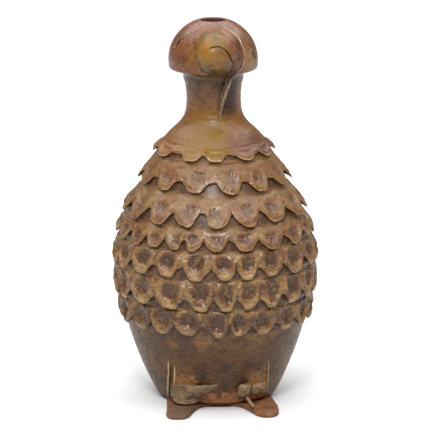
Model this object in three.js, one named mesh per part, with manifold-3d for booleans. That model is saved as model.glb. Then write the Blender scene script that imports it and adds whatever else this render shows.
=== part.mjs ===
// Stoneware bird vessel: a thrown bottle whose neck ends in a hollow bird's head.
// Seven pressed clay flounces ring the body, and two flat feet stand in front.
// Millimetres, +Z up. The bird looks along -Y and the floor is z = 0.
import * as THREE from 'three';
import { mergeVertices } from 'three/addons/utils/BufferGeometryUtils.js';
import Module from 'manifold-3d';

const wasm = await Module();
wasm.setup();

// Clearances and walls
const seat = 0.35; // gap under every piece that is luted to a curved wall
const wall = 6; // thrown wall of the body and neck
const floorThickness = 8; // floor of the pot
const headWall = 5; // wall of the head
const lean = 0.0092; // sideways lean of the whole pot for each millimetre of height

// Foot plate with its two toes
const plateThickness = 5;
const plateRadius = 53; // round part, under the pot
const toeRadius = 13;
const toeSpread = 41; // pot's axis to the middle line of a toe
const toeReach = 94; // pot's axis to the tips of the toes
const notchRadius = 14; // hollow corner between the plate and a toe

// Thrown body, each height being a rise above the station below it
const footRadius = 58.5;
const heelRadius = 64.5;
const heelRise = 12;
const flankRadius = 78;
const flankRise = 32;
const bellyRadius = 94;
const underbellyRadius = bellyRadius - 7.5;
const underbellyRise = 28.5;
const bellyRise = 59.5;
const overbellyRadius = bellyRadius - 9;
const overbellyRise = 45.5;
const shoulderRadius = 70;
const shoulderRise = 28.5;
const collarRadius = 57;
const collarRise = 26.5;
const kneeRadius = 51;
const kneeRise = 12;

// Thrown neck, from the knee of the shoulder up to the head
const slopeRadius = 43.5;
const slopeRise = 9;
const bendRadius = 31.5;
const bendRise = 12;
const throatRadius = 27.6;
const throatRise = 8;
const neckRadius = 26.2;
const neckRise = 12;
const napeRadius = 27.2;
const napeRise = 15;
const headSeatRadius = 29;
const headSeatRise = 7;

// Head: a dome with a rounded rim, a sloping underside and the mouth in its crown
const rimRadius = 41.5;
const rimRise = 9.5; // head seat to the lower corner of the rim
const domeRadius = rimRadius + 1.5;
const domeBase = 7.5; // lower corner of the rim to the widest ring of the dome
const domeRise = 40.3; // widest ring to where the dome would close
const mouthRadius = 12.2;
const mouthLip = 1.6;

// Clay flounces, from the top one down. Each starts a bare band below the lips above it,
// and its wave is how far its lower edge rises between two thumb presses.
const firstOverlap = 4; // the knee lies this far below the top edge of the first flounce
const firstHeight = 11.5;
const firstWave = 5.5;
const secondBand = 6;
const secondHeight = 23;
const secondWave = 11;
const thirdBand = 7;
const thirdHeight = 21.5;
const thirdWave = 13;
const fourthBand = 2.5;
const fourthHeight = 19.5;
const fourthWave = 11;
const fifthBand = 4.5;
const fifthHeight = 22;
const fifthWave = 12;
const sixthBand = 6;
const sixthHeight = 24.5;
const sixthWave = 12;
const seventhBand = 4.5;
const seventhHeight = 21.5;
const seventhWave = 10;
const firstHollow = 1; // how deep the thumb went in the middle of a press
const secondHollow = 2.2;
const shoulderHollow = 2.8; // on flounces 3 and 4
const bellyHollow = 3.8; // on flounces 5 to 7
const shoulderLip = 4.6; // how far a lower lip of flounces 1 to 4 turns out
const shoulderProud = 4; // and how thick they are between two presses
const bellyLip = 3.4; // the same on flounces 5 to 7
const bellyProud = 4.4;
const lipEdge = 2.6; // thickness of the lip itself
const pressedSkin = 0.7; // clay left under the deepest press, over its gap to the wall
const pressSteps = 8; // facets to a thumb press
const pressDrift = 2.5; // degrees that a press on the back strays from an even row

// The print of the thumb is an oval hollow on the face of a flounce
const printMiddle = 0.45; // share of the way down the face
const printTall = 0.46; // half its height, as a share of the face
const printWide = 0.8; // half its width, as a share of half a press

// Thumb presses on the front of each flounce, in degrees from straight ahead, plus to the
// bird's left. The back of a flounce is pressed as many times as its last number.
const presses = [
  [[-63, -27, -2, 30, 59], 7],
  [[-71, -46, -19, 10, 36, 62], 7],
  [[-64, -43, -21, -4, 19, 38, 65], 10],
  [[-57, -43, -27, -18, -3, 14, 32, 51], 14],
  [[-49, -32, -15, 1, 15, 29, 48], 15],
  [[-50, -30, -12, 3, 15, 30, 45], 15],
  [[-55, -38, -20, -2, 9, 25, 43], 15],
];

// Beak, snood and wattle, in front of the head and neck
const beakWidth = 21; // middle to side, as every oval's size here is
const beakHeight = 18.5;
const beakDepth = 27;
const beakReach = 62; // pot's axis to the front of the upper beak
const beakDrop = 25; // crown of the head to the middle of the upper beak
const chinWidth = 16;
const chinHeight = 15.5;
const chinDepth = 24;
const chinReach = 58;
const chinDrop = 33.5;
const slit = 0.8; // open line between the two halves of the beak
const snoodWidth = 12;
const snoodThickness = 6;
const snoodPoint = 0.45; // share of its width that the snood keeps at its ends
// The snood starts on the brow, hangs over the bird's left side of the beak and curls in
// under the chin, where the wattle takes over. Each point is across, forward and down.
const snoodRoute = [
  [3, 33, 6],
  [13, 35, 10],
  [20, 39, 18],
  [23.5, 42, 27],
  [23, 44, 36],
  [18, 45, 44],
  [13, 38, 51],
];
const wattleThickness = 4.4;
const wattleProud = 9.2; // how far the fin stands off the neck at its top
const wattleFade = 1.2; // and at its foot
const wattleRoot = 3; // depth of its root, before the neck cuts it
const wattleDrop = 40; // length of the fin down the neck
const wattleStart = 21; // degrees round to the bird's left at the top
const wattleEnd = 12; // and at the foot

// Eyes: slits pressed through into the dome, each with a raised lid round it
const eyeAngle = 65; // from straight ahead
const eyeLength = 8.5;
const eyeWidth = 4;
const eyeDepth = 3.2;
const eyeSlant = 28; // degrees from upright
const eyeTilt = 25; // degrees that the dome leans back at an eye
const leftEyeDrop = 31.5; // crown to the eye on the bird's left
const rightEyeDrop = 20; // crown to the eye on the bird's right
const lidBorder = 2.4;
const lidProud = 1.6;

// Legs, foot pads, spur and two scraps of clay
const legThickness = 4;
const legTop = 52;
const rightLegInner = 18;
const rightLegOuter = 51;
const leftLegInner = 22;
const leftLegOuter = 46;
const padTop = 26;
const rightPadInner = 21;
const padShare = 0.3; // share of the right toe, from the leg to its tip, under the pad
const padCorner = 5; // rounding of the right pad's two front corners
const padSlope = 3; // how far its front leans back to the top
const spurTip = 6; // middle of the pot to the tip of the spur
const spurRoot = 10; // how far the spur stands off the wall beside the pad
const spurPoint = 2.5; // and at its tip
const leftPadInner = 30;
const leftPadProud = 6;
const leftPadRim = 0.8; // how far the edge of a left pad stands off the leg
const innerPadInner = 17;
const innerPadOuter = 28;
const padFloor = 12; // height of the underside of the left foot's two pads
const scrapRadius = 1.5;
const longScrapTopOff = 15.8; // how far the long scrap stands off the wall at its top
const longScrapFootOff = 25;

// Shapes

function between(a, b, t) {
  return a + (b - a) * t;
}

function roundedCurve(stations, divisions) {
  const curve = new THREE.CatmullRomCurve3(
    stations.map(([r, z]) => new THREE.Vector3(r, z, 0)),
    false,
    'centripetal',
  );
  return curve.getPoints(divisions * (stations.length - 1)).map((p) => new THREE.Vector2(p.x, p.y));
}

function radiusOn(outline, height) {
  for (let i = 1; i < outline.length; i += 1) {
    const low = outline[i - 1];
    const high = outline[i];
    if (height <= high.y || i === outline.length - 1) {
      return low.x + ((high.x - low.x) * (height - low.y)) / (high.y - low.y);
    }
  }
  return outline[0].x;
}

function closedGeometry(positions, indices) {
  const geometry = new THREE.BufferGeometry();
  geometry.setAttribute('position', new THREE.Float32BufferAttribute(positions, 3));
  let volume = 0;
  const corner = indices.map((i) => new THREE.Vector3().fromArray(positions, 3 * i));
  for (let i = 0; i < corner.length; i += 3) {
    volume += corner[i].dot(corner[i + 1].clone().cross(corner[i + 2]));
  }
  geometry.setIndex(volume < 0 ? [...indices].reverse() : indices);
  return geometry;
}

// A skin over a row of equal rings of points, closed round or capped at both ends
function loft(rings, closed) {
  const around = rings[0].length;
  const positions = rings.flat().flatMap((p) => [p.x, p.y, p.z]);
  const indices = [];
  const spans = closed ? rings.length : rings.length - 1;
  for (let i = 0; i < spans; i += 1) {
    const next = (i + 1) % rings.length;
    for (let j = 0; j < around; j += 1) {
      const a = i * around + j;
      const b = i * around + ((j + 1) % around);
      const c = next * around + ((j + 1) % around);
      const d = next * around + j;
      indices.push(a, b, c, a, c, d);
    }
  }
  const last = (rings.length - 1) * around;
  for (let j = 1; !closed && j < around - 1; j += 1) {
    indices.push(0, j + 1, j, last, last + j, last + j + 1);
  }
  return closedGeometry(positions, indices);
}

// A slab between two grids of points, back(u, v) and front(u, v)
function slab(columns, rows, back, front) {
  const rings = [];
  for (let i = 0; i <= columns; i += 1) {
    const ring = [];
    for (let j = 0; j <= rows; j += 1) {
      ring.push(front(i / columns, j / rows));
    }
    for (let j = rows; j >= 0; j -= 1) {
      ring.push(back(i / columns, j / rows));
    }
    rings.push(ring);
  }
  const size = 2 * (rows + 1);
  const positions = rings.flat().flatMap((p) => [p.x, p.y, p.z]);
  const indices = [];
  for (let i = 0; i < columns; i += 1) {
    for (let j = 0; j < size; j += 1) {
      const a = i * size + j;
      const b = i * size + ((j + 1) % size);
      indices.push(a, b, b + size, a, b + size, a + size);
    }
  }
  const last = columns * size;
  for (let j = 0; j < rows; j += 1) {
    const mate = size - 1 - j;
    indices.push(j, mate, mate - 1, j, mate - 1, j + 1);
    indices.push(last + j, last + mate - 1, last + mate, last + j, last + j + 1, last + mate - 1);
  }
  return closedGeometry(positions, indices);
}

function solidOf(geometry) {
  const bare = geometry.clone();
  bare.deleteAttribute('normal');
  bare.deleteAttribute('uv');
  const merged = mergeVertices(bare, 1e-4);
  const index = merged.index.array;
  const triangles = [];
  for (let i = 0; i < index.length; i += 3) {
    const [a, b, c] = [index[i], index[i + 1], index[i + 2]];
    if (a !== b && b !== c && c !== a) triangles.push(a, b, c);
  }
  return new wasm.Manifold(new wasm.Mesh({
    numProp: 3,
    vertProperties: new Float32Array(merged.attributes.position.array),
    triVerts: new Uint32Array(triangles),
  }));
}

function geometryOf(solid) {
  const mesh = solid.getMesh();
  const geometry = new THREE.BufferGeometry();
  geometry.setAttribute('position', new THREE.BufferAttribute(mesh.vertProperties, 3));
  geometry.setIndex(new THREE.BufferAttribute(mesh.triVerts, 1));
  return geometry;
}

function ellipsoid(centre, width, depth, height, grow) {
  const geometry = new THREE.SphereGeometry(1, 20, 14);
  geometry.rotateX(Math.PI / 2);
  geometry.scale(width + grow, depth + grow, height + grow);
  geometry.translate(centre.x, centre.y, centre.z);
  return geometry;
}

// Outlines of the thrown pieces, as radius and height
const heelHeight = plateThickness + heelRise;
const flankHeight = heelHeight + flankRise;
const underbellyHeight = flankHeight + underbellyRise;
const bellyHeight = underbellyHeight + bellyRise;
const overbellyHeight = bellyHeight + overbellyRise;
const shoulderHeight = overbellyHeight + shoulderRise;
const collarHeight = shoulderHeight + collarRise;
const kneeHeight = collarHeight + kneeRise;
const bodyOutline = roundedCurve([
  [footRadius, plateThickness],
  [heelRadius, heelHeight],
  [flankRadius, flankHeight],
  [underbellyRadius, underbellyHeight],
  [bellyRadius, bellyHeight],
  [overbellyRadius, overbellyHeight],
  [shoulderRadius, shoulderHeight],
  [collarRadius, collarHeight],
  [kneeRadius, kneeHeight],
], 2);

const slopeHeight = kneeHeight + slopeRise;
const bendHeight = slopeHeight + bendRise;
const throatHeight = bendHeight + throatRise;
const neckHeight = throatHeight + neckRise;
const napeHeight = neckHeight + napeRise;
const headSeat = napeHeight + headSeatRise;
const neckOutline = roundedCurve([
  [kneeRadius, kneeHeight],
  [slopeRadius, slopeHeight],
  [bendRadius, bendHeight],
  [throatRadius, throatHeight],
  [neckRadius, neckHeight],
  [napeRadius, napeHeight],
  [headSeatRadius, headSeat],
], 2);

const rimHeight = headSeat + rimRise;
const domeHeight = rimHeight + domeBase;
const mouthOuter = mouthRadius + mouthLip;

function domeArc(radius, rise, endRadius, steps) {
  const end = Math.acos(endRadius / radius);
  return Array.from({ length: steps + 1 }, (_, i) => {
    const a = (end * i) / steps;
    return new THREE.Vector2(radius * Math.cos(a), domeHeight + rise * Math.sin(a));
  });
}

const headOutline = [
  new THREE.Vector2(headSeatRadius, headSeat),
  new THREE.Vector2(headSeatRadius + 0.4 * (rimRadius - headSeatRadius), headSeat + 0.45 * rimRise),
  new THREE.Vector2(rimRadius - 1.5, rimHeight - 1),
  new THREE.Vector2(rimRadius, rimHeight),
  ...domeArc(domeRadius, domeRise, mouthOuter, 8),
];
const crown = headOutline[headOutline.length - 1].y;

// Thrown pieces

function lathe(outline, segments) {
  const geometry = new THREE.LatheGeometry(outline, segments);
  geometry.rotateX(Math.PI / 2);
  return closedGeometry(Array.from(geometry.attributes.position.array), Array.from(geometry.index.array));
}

// Every second point of an outline, moved in by the wall, from the top down
function inward(outline, thickness) {
  const inner = outline.filter((_, i) => i % 2 === (outline.length - 1) % 2);
  return inner.map((p) => new THREE.Vector2(p.x - thickness, p.y)).reverse();
}

function bodyGeometry() {
  const inside = inward(bodyOutline, wall).filter((p) => p.y > plateThickness + floorThickness + 1);
  const floorTop = plateThickness + floorThickness;
  return lathe([
    new THREE.Vector2(0, plateThickness),
    ...bodyOutline,
    ...inside,
    new THREE.Vector2(radiusOn(bodyOutline, floorTop) - wall, floorTop),
    new THREE.Vector2(0, floorTop),
  ], 48);
}

function neckGeometry() {
  return lathe([...neckOutline, ...inward(neckOutline, wall), neckOutline[0]], 36);
}

function eyePlace(side, drop) {
  const height = crown - drop;
  const angle = THREE.MathUtils.degToRad(eyeAngle) * side;
  const radius = radiusOn(headOutline, height);
  return new THREE.Vector3(radius * Math.sin(angle), -radius * Math.cos(angle), height);
}

// An oval that lies on the dome at an eye: long and wide across it, deep into it
function eyeOval(side, drop, length, width, depth) {
  const place = eyePlace(side, drop);
  const geometry = new THREE.SphereGeometry(1, 12, 8);
  geometry.scale(width / 2, depth, length / 2);
  geometry.rotateY(THREE.MathUtils.degToRad(-eyeSlant) * side);
  geometry.rotateX(THREE.MathUtils.degToRad(eyeTilt));
  geometry.rotateZ(THREE.MathUtils.degToRad(eyeAngle) * side);
  geometry.translate(place.x, place.y, place.z);
  return geometry;
}

function headGeometry() {
  const inside = [
    new THREE.Vector2(mouthRadius, crown),
    new THREE.Vector2(mouthRadius, crown - headWall),
    ...domeArc(domeRadius - headWall, domeRise - headWall, mouthRadius + headWall, 5).reverse(),
    new THREE.Vector2(rimRadius - headWall - 1, rimHeight + 2),
    new THREE.Vector2(headSeatRadius - wall, headSeat),
  ];
  let solid = solidOf(lathe([...headOutline, ...inside, headOutline[0]], 40));
  for (const [side, drop] of [[1, leftEyeDrop], [-1, rightEyeDrop]]) {
    solid = solid.subtract(solidOf(eyeOval(side, drop, eyeLength, eyeWidth, eyeDepth)));
  }
  return geometryOf(solid);
}

// A thrown outline as a plain solid, grown by a gap, which cuts what is luted to it
function plainSolid(outline, segments, gap) {
  const grown = outline.map((p, i) => {
    const before = outline[Math.max(i - 1, 0)];
    const after = outline[Math.min(i + 1, outline.length - 1)];
    const along = new THREE.Vector2().subVectors(after, before).normalize();
    return new THREE.Vector2(p.x + gap * along.y, p.y - gap * along.x);
  });
  const top = new THREE.Vector2(0, grown[grown.length - 1].y);
  const bottom = new THREE.Vector2(0, grown[0].y);
  return solidOf(lathe([bottom, ...grown, top], segments));
}

function wallSolid(gap) {
  return plainSolid(bodyOutline, 48, gap);
}

function headAndNeckSolid(gap) {
  return plainSolid([...neckOutline, ...headOutline.slice(1)], 36, gap);
}

// Flounces

// How far the wall bulges out past a straight line between two heights on it
function bulge(low, high) {
  let most = 0;
  for (let t = 0.1; t < 1; t += 0.1) {
    const straight = between(radiusOn(bodyOutline, low), radiusOn(bodyOutline, high), t);
    most = Math.max(most, radiusOn(bodyOutline, between(low, high, t)) - straight);
  }
  return most;
}

// Every press of a flounce, once round from the first one back to it
function pressAngles(front, behind) {
  const last = front[front.length - 1];
  const step = (front[0] + 360 - last) / (behind + 1);
  const back = Array.from({ length: behind }, (_, i) => last + step * (i + 1) + pressDrift * Math.sin(2.4 * (i + 1)));
  return [...front, ...back, front[0] + 360];
}

// How deep the thumb went, 0 to 1: across is 0 in the middle of a press and 1 between two,
// and down is the share of the way down the face
function thumbPrint(across, down) {
  const reach = Math.hypot(across / printWide, (down - printMiddle) / printTall);
  return 1 - THREE.MathUtils.smoothstep(reach, 0.15, 1);
}

function flounceGeometry(angles, top, height, wave, lip, proud, hollow) {
  const bottom = top - height;
  const rings = [];
  for (let i = 0; i + 1 < angles.length; i += 1) {
    for (let s = 0; s < pressSteps; s += 1) {
      const share = s / pressSteps;
      const across = 2 * Math.min(share, 1 - share);
      const angle = THREE.MathUtils.degToRad(between(angles[i], angles[i + 1], share));
      const press = ((1 + Math.cos(2 * Math.PI * share)) / 2) ** 0.65;
      const lowest = bottom + wave * (1 - press);
      const leave = lowest + 0.35 * (top - lowest);
      const bed = seat + bulge(leave, top);
      const out = seat + lip * (0.45 + 0.55 * press);
      const face = [0.16, 0.44, 0.74].map((down) => {
        const height = between(top, lowest, down);
        const swell = proud * THREE.MathUtils.smoothstep(down, -0.1, 0.4);
        const off = Math.max(swell - hollow * thumbPrint(across, down), pressedSkin);
        return [radiusOn(bodyOutline, height) + bed + off, height];
      });
      const section = [
        [radiusOn(bodyOutline, top) + bed, top],
        ...face,
        [radiusOn(bodyOutline, lowest) + out + lipEdge, lowest + 0.6],
        [radiusOn(bodyOutline, lowest) + out, lowest],
        [radiusOn(bodyOutline, leave) + bed, leave],
      ];
      rings.push(section.map(([r, z]) => new THREE.Vector3(r * Math.sin(angle), -r * Math.cos(angle), z)));
    }
  }
  return loft(rings, true);
}

// Beak

const beakMiddle = crown - beakDrop;
const chinMiddle = crown - chinDrop;

function beakOval(grow) {
  const centre = new THREE.Vector3(0, beakDepth - beakReach, beakMiddle);
  return solidOf(ellipsoid(centre, beakWidth, beakDepth, beakHeight, grow));
}

function chinOval(grow) {
  const centre = new THREE.Vector3(0, chinDepth - chinReach, chinMiddle);
  return solidOf(ellipsoid(centre, chinWidth, chinDepth, chinHeight, grow));
}

// The arch that the upper beak leaves open for the lower one, from the chin forwards
function archSolid() {
  const geometry = new THREE.CylinderGeometry(1, 1, beakReach, 24);
  geometry.scale(chinWidth + slit, 1, chinHeight + slit);
  geometry.translate(0, chinDepth - chinReach - beakReach / 2, chinMiddle);
  return solidOf(geometry).add(chinOval(slit));
}

function snoodPath() {
  return new THREE.CatmullRomCurve3(snoodRoute.map(([x, f, d]) => new THREE.Vector3(x, -f, crown - d)));
}

function snoodSolid(grow) {
  const path = snoodPath();
  const centre = new THREE.Vector3(0, 0, domeHeight);
  const rings = [];
  const steps = 14;
  for (let i = 0; i <= steps; i += 1) {
    const u = i / steps;
    const middle = path.getPointAt(u);
    const along = path.getTangentAt(u);
    const across = along.clone().cross(middle.clone().sub(centre)).normalize();
    const out = across.clone().cross(along).normalize();
    const taper = between(snoodPoint, 1, Math.sin(Math.PI * Math.min(1, 0.1 + u * 0.95)) ** 0.7);
    const ring = [];
    for (let k = 0; k < 10; k += 1) {
      const a = (2 * Math.PI * k) / 10;
      const w = (snoodWidth / 2 + grow) * taper * Math.cos(a);
      const t = (snoodThickness / 2 + grow) * Math.sin(a);
      ring.push(middle.clone().addScaledVector(across, w).addScaledVector(out, t));
    }
    rings.push(ring);
  }
  return solidOf(loft(rings, false));
}

// The wattle is a thin fin from under the chin to the root of the neck
function wattleSolid() {
  const top = headSeat - 1;
  const rings = [];
  const steps = 8;
  for (let i = 0; i <= steps; i += 1) {
    const u = i / steps;
    const height = top - wattleDrop * u;
    const surface = radiusOn(neckOutline, height);
    const angle = THREE.MathUtils.degToRad(between(wattleStart, wattleEnd, u));
    const half = (wattleThickness / 2) * (1 - 0.45 * u);
    const proud = between(wattleProud, wattleFade, u);
    const root = surface - wattleRoot;
    const ring = [[root, -half], [surface + proud, -half * 0.7], [surface + proud, half * 0.7], [root, half]];
    rings.push(ring.map(([r, side]) => new THREE.Vector3(
      r * Math.sin(angle) + side * Math.cos(angle),
      -r * Math.cos(angle) + side * Math.sin(angle),
      height,
    )));
  }
  return solidOf(loft(rings, false));
}

// Feet

function platePlan() {
  const plan = new THREE.Shape();
  const toeMiddle = toeReach - toeRadius;
  const toeOuter = toeSpread + toeRadius;
  const toeInner = toeSpread - toeRadius;
  const front = Math.sqrt(plateRadius ** 2 - (toeInner - notchRadius) ** 2);
  plan.absarc(0, 0, plateRadius, 0, Math.PI, false);
  plan.lineTo(-toeOuter, -toeMiddle);
  plan.absarc(-toeSpread, -toeMiddle, toeRadius, Math.PI, 2 * Math.PI, false);
  plan.absarc(-toeInner + notchRadius, -front - notchRadius, notchRadius, Math.PI, Math.PI / 2, true);
  plan.absarc(toeInner - notchRadius, -front - notchRadius, notchRadius, Math.PI / 2, 0, true);
  plan.absarc(toeSpread, -toeMiddle, toeRadius, Math.PI, 2 * Math.PI, false);
  plan.closePath();
  return plan;
}

function plateGeometry() {
  const slice = { depth: plateThickness, bevelEnabled: false, curveSegments: 10 };
  return new THREE.ExtrudeGeometry(platePlan(), slice);
}

// A point in front of the wall, x across the pot, at a height and a distance off the wall
function onWall(x, height, off) {
  const radius = radiusOn(bodyOutline, height) + off;
  return new THREE.Vector3(x, -Math.sqrt(Math.max(radius ** 2 - x ** 2, 1)), height);
}

const standing = plateThickness + seat;
const buried = -3; // backs start inside the wall, which then cuts them to its own curve

function legSolid(side, inner, outer, grow) {
  const place = (u, v, off) => onWall(
    side * between(inner - grow, outer + grow, u),
    between(standing - grow, legTop + grow, v),
    off,
  );
  const off = (u, v) => legThickness * Math.min(1, 0.1 + 2.4 * (1 - v)) * (0.8 + 0.2 * Math.sin(Math.PI * u));
  return solidOf(slab(6, 6, (u, v) => place(u, v, buried), (u, v) => place(u, v, seat + off(u, v) + grow)));
}

// The pad of the right foot fills the hollow between the leg and the toe
function rightPadSolid() {
  const legFace = onWall(between(rightLegInner, rightLegOuter, 0.5), standing, seat + legThickness);
  const reach = between(-legFace.y, toeReach, padShare);
  const lift = (v) => between(standing, padTop, v);
  const x = (u) => -between(rightPadInner, rightLegOuter - 3, u);
  const front = (u, v) => {
    const roundOff = padCorner * (1 - Math.sin(Math.PI * u) ** 0.5) + padSlope * v ** 2;
    const wallFace = onWall(x(u), lift(v), seat + legThickness + 1.5);
    return new THREE.Vector3(x(u), Math.min(roundOff - reach, wallFace.y), lift(v));
  };
  return solidOf(slab(6, 4, (u, v) => onWall(x(u), lift(v), buried), front));
}

// The spur runs from that pad up to the middle of the wall
function spurSolid() {
  const x = (u) => -between(rightPadInner - seat, spurTip, u);
  const height = (u, v) => between(
    between(standing + 2, padTop - 7, u),
    padTop + 1.5 * Math.sin(Math.PI * u),
    v,
  );
  const proud = (u, v) => between(spurRoot, spurPoint, u) * (0.5 + 0.5 * Math.sin(Math.PI * v));
  const back = (u, v) => onWall(x(u), height(u, v), buried);
  return solidOf(slab(5, 4, back, (u, v) => onWall(x(u), height(u, v), seat + proud(u, v))));
}

// The pads of the left foot are flattened balls pressed against the leg
function leftPadSolid(inner, outer, bed) {
  const place = (u, v, off) => onWall(between(inner, outer, u), between(padFloor, padTop - 1, v), off);
  const round = (t) => Math.sin(Math.PI * between(0.06, 0.94, t));
  const front = (u, v) => place(u, v, bed + leftPadRim + leftPadProud * Math.sqrt(round(u) * round(v)));
  return solidOf(slab(5, 5, (u, v) => place(u, v, buried), front));
}

function scrapGeometry(from, to) {
  const along = new THREE.Vector3().subVectors(to, from);
  const geometry = new THREE.CapsuleGeometry(scrapRadius, along.length(), 3, 8);
  geometry.applyQuaternion(new THREE.Quaternion().setFromUnitVectors(
    new THREE.Vector3(0, 1, 0),
    along.clone().normalize(),
  ));
  const middle = from.clone().add(to).multiplyScalar(0.5);
  geometry.translate(middle.x, middle.y, middle.z);
  return geometry;
}

// Assembly

const glaze = {
  body: [0x94714a, 0.42],
  neck: [0xa67c3c, 0.38],
  head: [0x8a5a3c, 0.4],
  flounce: [0x9c7a50, 0.42],
  beak: [0xb08a48, 0.38],
  snood: [0x7d5138, 0.4],
  plate: [0x9a5a38, 0.55],
  pad: [0x77684f, 0.6],
};

const vessel = new THREE.Group();
vessel.name = 'stoneware_bird_vessel';

function add(name, geometry, finish) {
  const [color, roughness] = glaze[finish];
  const leaning = new THREE.Matrix4().set(1, 0, -lean, 0, 0, 1, 0, 0, 0, 0, 1, 0, 0, 0, 0, 1);
  geometry.applyMatrix4(leaning);
  const mesh = new THREE.Mesh(geometry, new THREE.MeshStandardMaterial({ color, roughness, metalness: 0 }));
  mesh.name = name;
  vessel.add(mesh);
}

add('foot_plate', plateGeometry(), 'plate');
add('body', bodyGeometry(), 'body');
add('neck', neckGeometry(), 'neck');
add('head', headGeometry(), 'head');

let top = kneeHeight + firstOverlap;
[
  [0, firstHeight, firstWave, shoulderLip, shoulderProud, firstHollow],
  [secondBand, secondHeight, secondWave, shoulderLip, shoulderProud, secondHollow],
  [thirdBand, thirdHeight, thirdWave, shoulderLip, shoulderProud, shoulderHollow],
  [fourthBand, fourthHeight, fourthWave, shoulderLip, shoulderProud, shoulderHollow],
  [fifthBand, fifthHeight, fifthWave, bellyLip, bellyProud, bellyHollow],
  [sixthBand, sixthHeight, sixthWave, bellyLip, bellyProud, bellyHollow],
  [seventhBand, seventhHeight, seventhWave, bellyLip, bellyProud, bellyHollow],
].forEach(([band, height, wave, lip, proud, hollow], i) => {
  top -= band;
  const angles = pressAngles(presses[i][0], presses[i][1]);
  add(`flounce_${i + 1}`, flounceGeometry(angles, top, height, wave, lip, proud, hollow), 'flounce');
  top -= height;
});

const pressed = headAndNeckSolid(seat);
add('beak_lower', geometryOf(chinOval(0).subtract(pressed)), 'beak');
add('beak_upper', geometryOf(beakOval(0).subtract(pressed).subtract(archSolid())), 'beak');
const snoodBed = pressed.add(beakOval(seat)).add(chinOval(seat));
add('snood', geometryOf(snoodSolid(0).subtract(snoodBed)), 'snood');
const wattleBed = snoodBed.add(snoodSolid(seat));
add('wattle', geometryOf(wattleSolid().subtract(wattleBed)), 'snood');

for (const [name, side, drop] of [['eyelid_left', 1, leftEyeDrop], ['eyelid_right', -1, rightEyeDrop]]) {
  const lid = solidOf(eyeOval(side, drop, eyeLength + 2 * lidBorder, eyeWidth + 2 * lidBorder, lidProud));
  const hole = solidOf(eyeOval(side, drop, eyeLength + seat, eyeWidth + seat, eyeDepth));
  add(name, geometryOf(lid.subtract(pressed).subtract(hole)), 'head');
}

const wallBed = wallSolid(seat);
const rightBed = wallBed.add(legSolid(-1, rightLegInner, rightLegOuter, seat));
const leftBed = wallBed.add(legSolid(1, leftLegInner, leftLegOuter, seat));
const onLeg = seat + legThickness;
add('leg_right', geometryOf(legSolid(-1, rightLegInner, rightLegOuter, 0).subtract(wallBed)), 'body');
add('leg_left', geometryOf(legSolid(1, leftLegInner, leftLegOuter, 0).subtract(wallBed)), 'body');
add('foot_pad_right', geometryOf(rightPadSolid().subtract(rightBed)), 'pad');
add('spur_right', geometryOf(spurSolid().subtract(rightBed)), 'pad');
const leftPad = leftPadSolid(leftPadInner, leftLegOuter - 1, onLeg);
add('foot_pad_left', geometryOf(leftPad.subtract(leftBed)), 'pad');
const innerPad = leftPadSolid(innerPadInner, innerPadOuter, onLeg);
add('inner_pad_left', geometryOf(innerPad.subtract(leftBed)), 'pad');
const scrapFloor = plateThickness + scrapRadius + seat;
const scrapOff = seat + scrapRadius;
const longScrapTop = onWall(innerPadOuter - 3, padFloor + 1, longScrapTopOff);
const longScrapFoot = onWall(innerPadOuter + 2, scrapFloor, longScrapFootOff);
add('clay_scrap_long', scrapGeometry(longScrapTop, longScrapFoot), 'pad');
const shortScrapTop = onWall(innerPadInner + 3, padFloor - 2.5, scrapOff);
const shortScrapFoot = onWall(innerPadInner + 3, scrapFloor + 0.8, scrapOff);
add('clay_scrap_short', scrapGeometry(shortScrapTop, shortScrapFoot), 'pad');

export default vessel;
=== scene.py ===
# A stoneware bird vessel: a thrown bottle that ends in a hollow bird's head, with seven
# strips of thumb-pressed clay luted round its body and two flat feet in front.
# Metres, in the part's own frame: the floor is z = 0 and the bird looks along -Y.
import random
from functools import cache
from math import acos, atan2, copysign, cos, exp, hypot, pi, radians, sin, sqrt, tau

import bmesh
import bpy
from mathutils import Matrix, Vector, noise


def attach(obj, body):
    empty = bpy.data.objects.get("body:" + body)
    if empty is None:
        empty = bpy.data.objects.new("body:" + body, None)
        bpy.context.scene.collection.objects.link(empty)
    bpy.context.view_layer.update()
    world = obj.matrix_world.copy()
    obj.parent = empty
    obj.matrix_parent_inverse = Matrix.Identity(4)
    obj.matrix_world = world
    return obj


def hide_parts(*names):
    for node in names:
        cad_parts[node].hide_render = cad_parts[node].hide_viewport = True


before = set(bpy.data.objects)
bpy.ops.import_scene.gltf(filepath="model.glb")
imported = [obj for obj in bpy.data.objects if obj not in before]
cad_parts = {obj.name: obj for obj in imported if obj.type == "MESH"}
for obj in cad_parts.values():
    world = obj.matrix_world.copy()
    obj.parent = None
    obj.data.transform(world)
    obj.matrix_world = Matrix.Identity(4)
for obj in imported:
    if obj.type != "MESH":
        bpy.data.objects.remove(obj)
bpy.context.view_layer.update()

# Camera: a long lens well back from the vessel, a little above it and to its right.
mm = 0.001
aim = Vector((-0.4, 0, 175.6)) * mm


def way_to(azimuth, elevation):
    """Direction from the vessel; azimuth 0 is straight in front of the bird."""
    turn, rise = radians(azimuth), radians(elevation)
    return Vector((sin(turn) * cos(rise), -cos(turn) * cos(rise), sin(rise)))


def set_out(thing):
    """Puts a mesh, a lamp or the camera in the scene."""
    placed = bpy.data.objects.new(thing.name, thing)
    bpy.context.scene.collection.objects.link(placed)
    return placed


def stand(thing, azimuth, elevation, distance, at=aim):
    """Stands a lamp or the camera at a distance, looking at the vessel."""
    way = way_to(azimuth, elevation)
    stood = set_out(thing)
    stood.location = at + way * distance
    stood.rotation_euler = (-way).to_track_quat("-Z", "Y").to_euler()
    return stood


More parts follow.
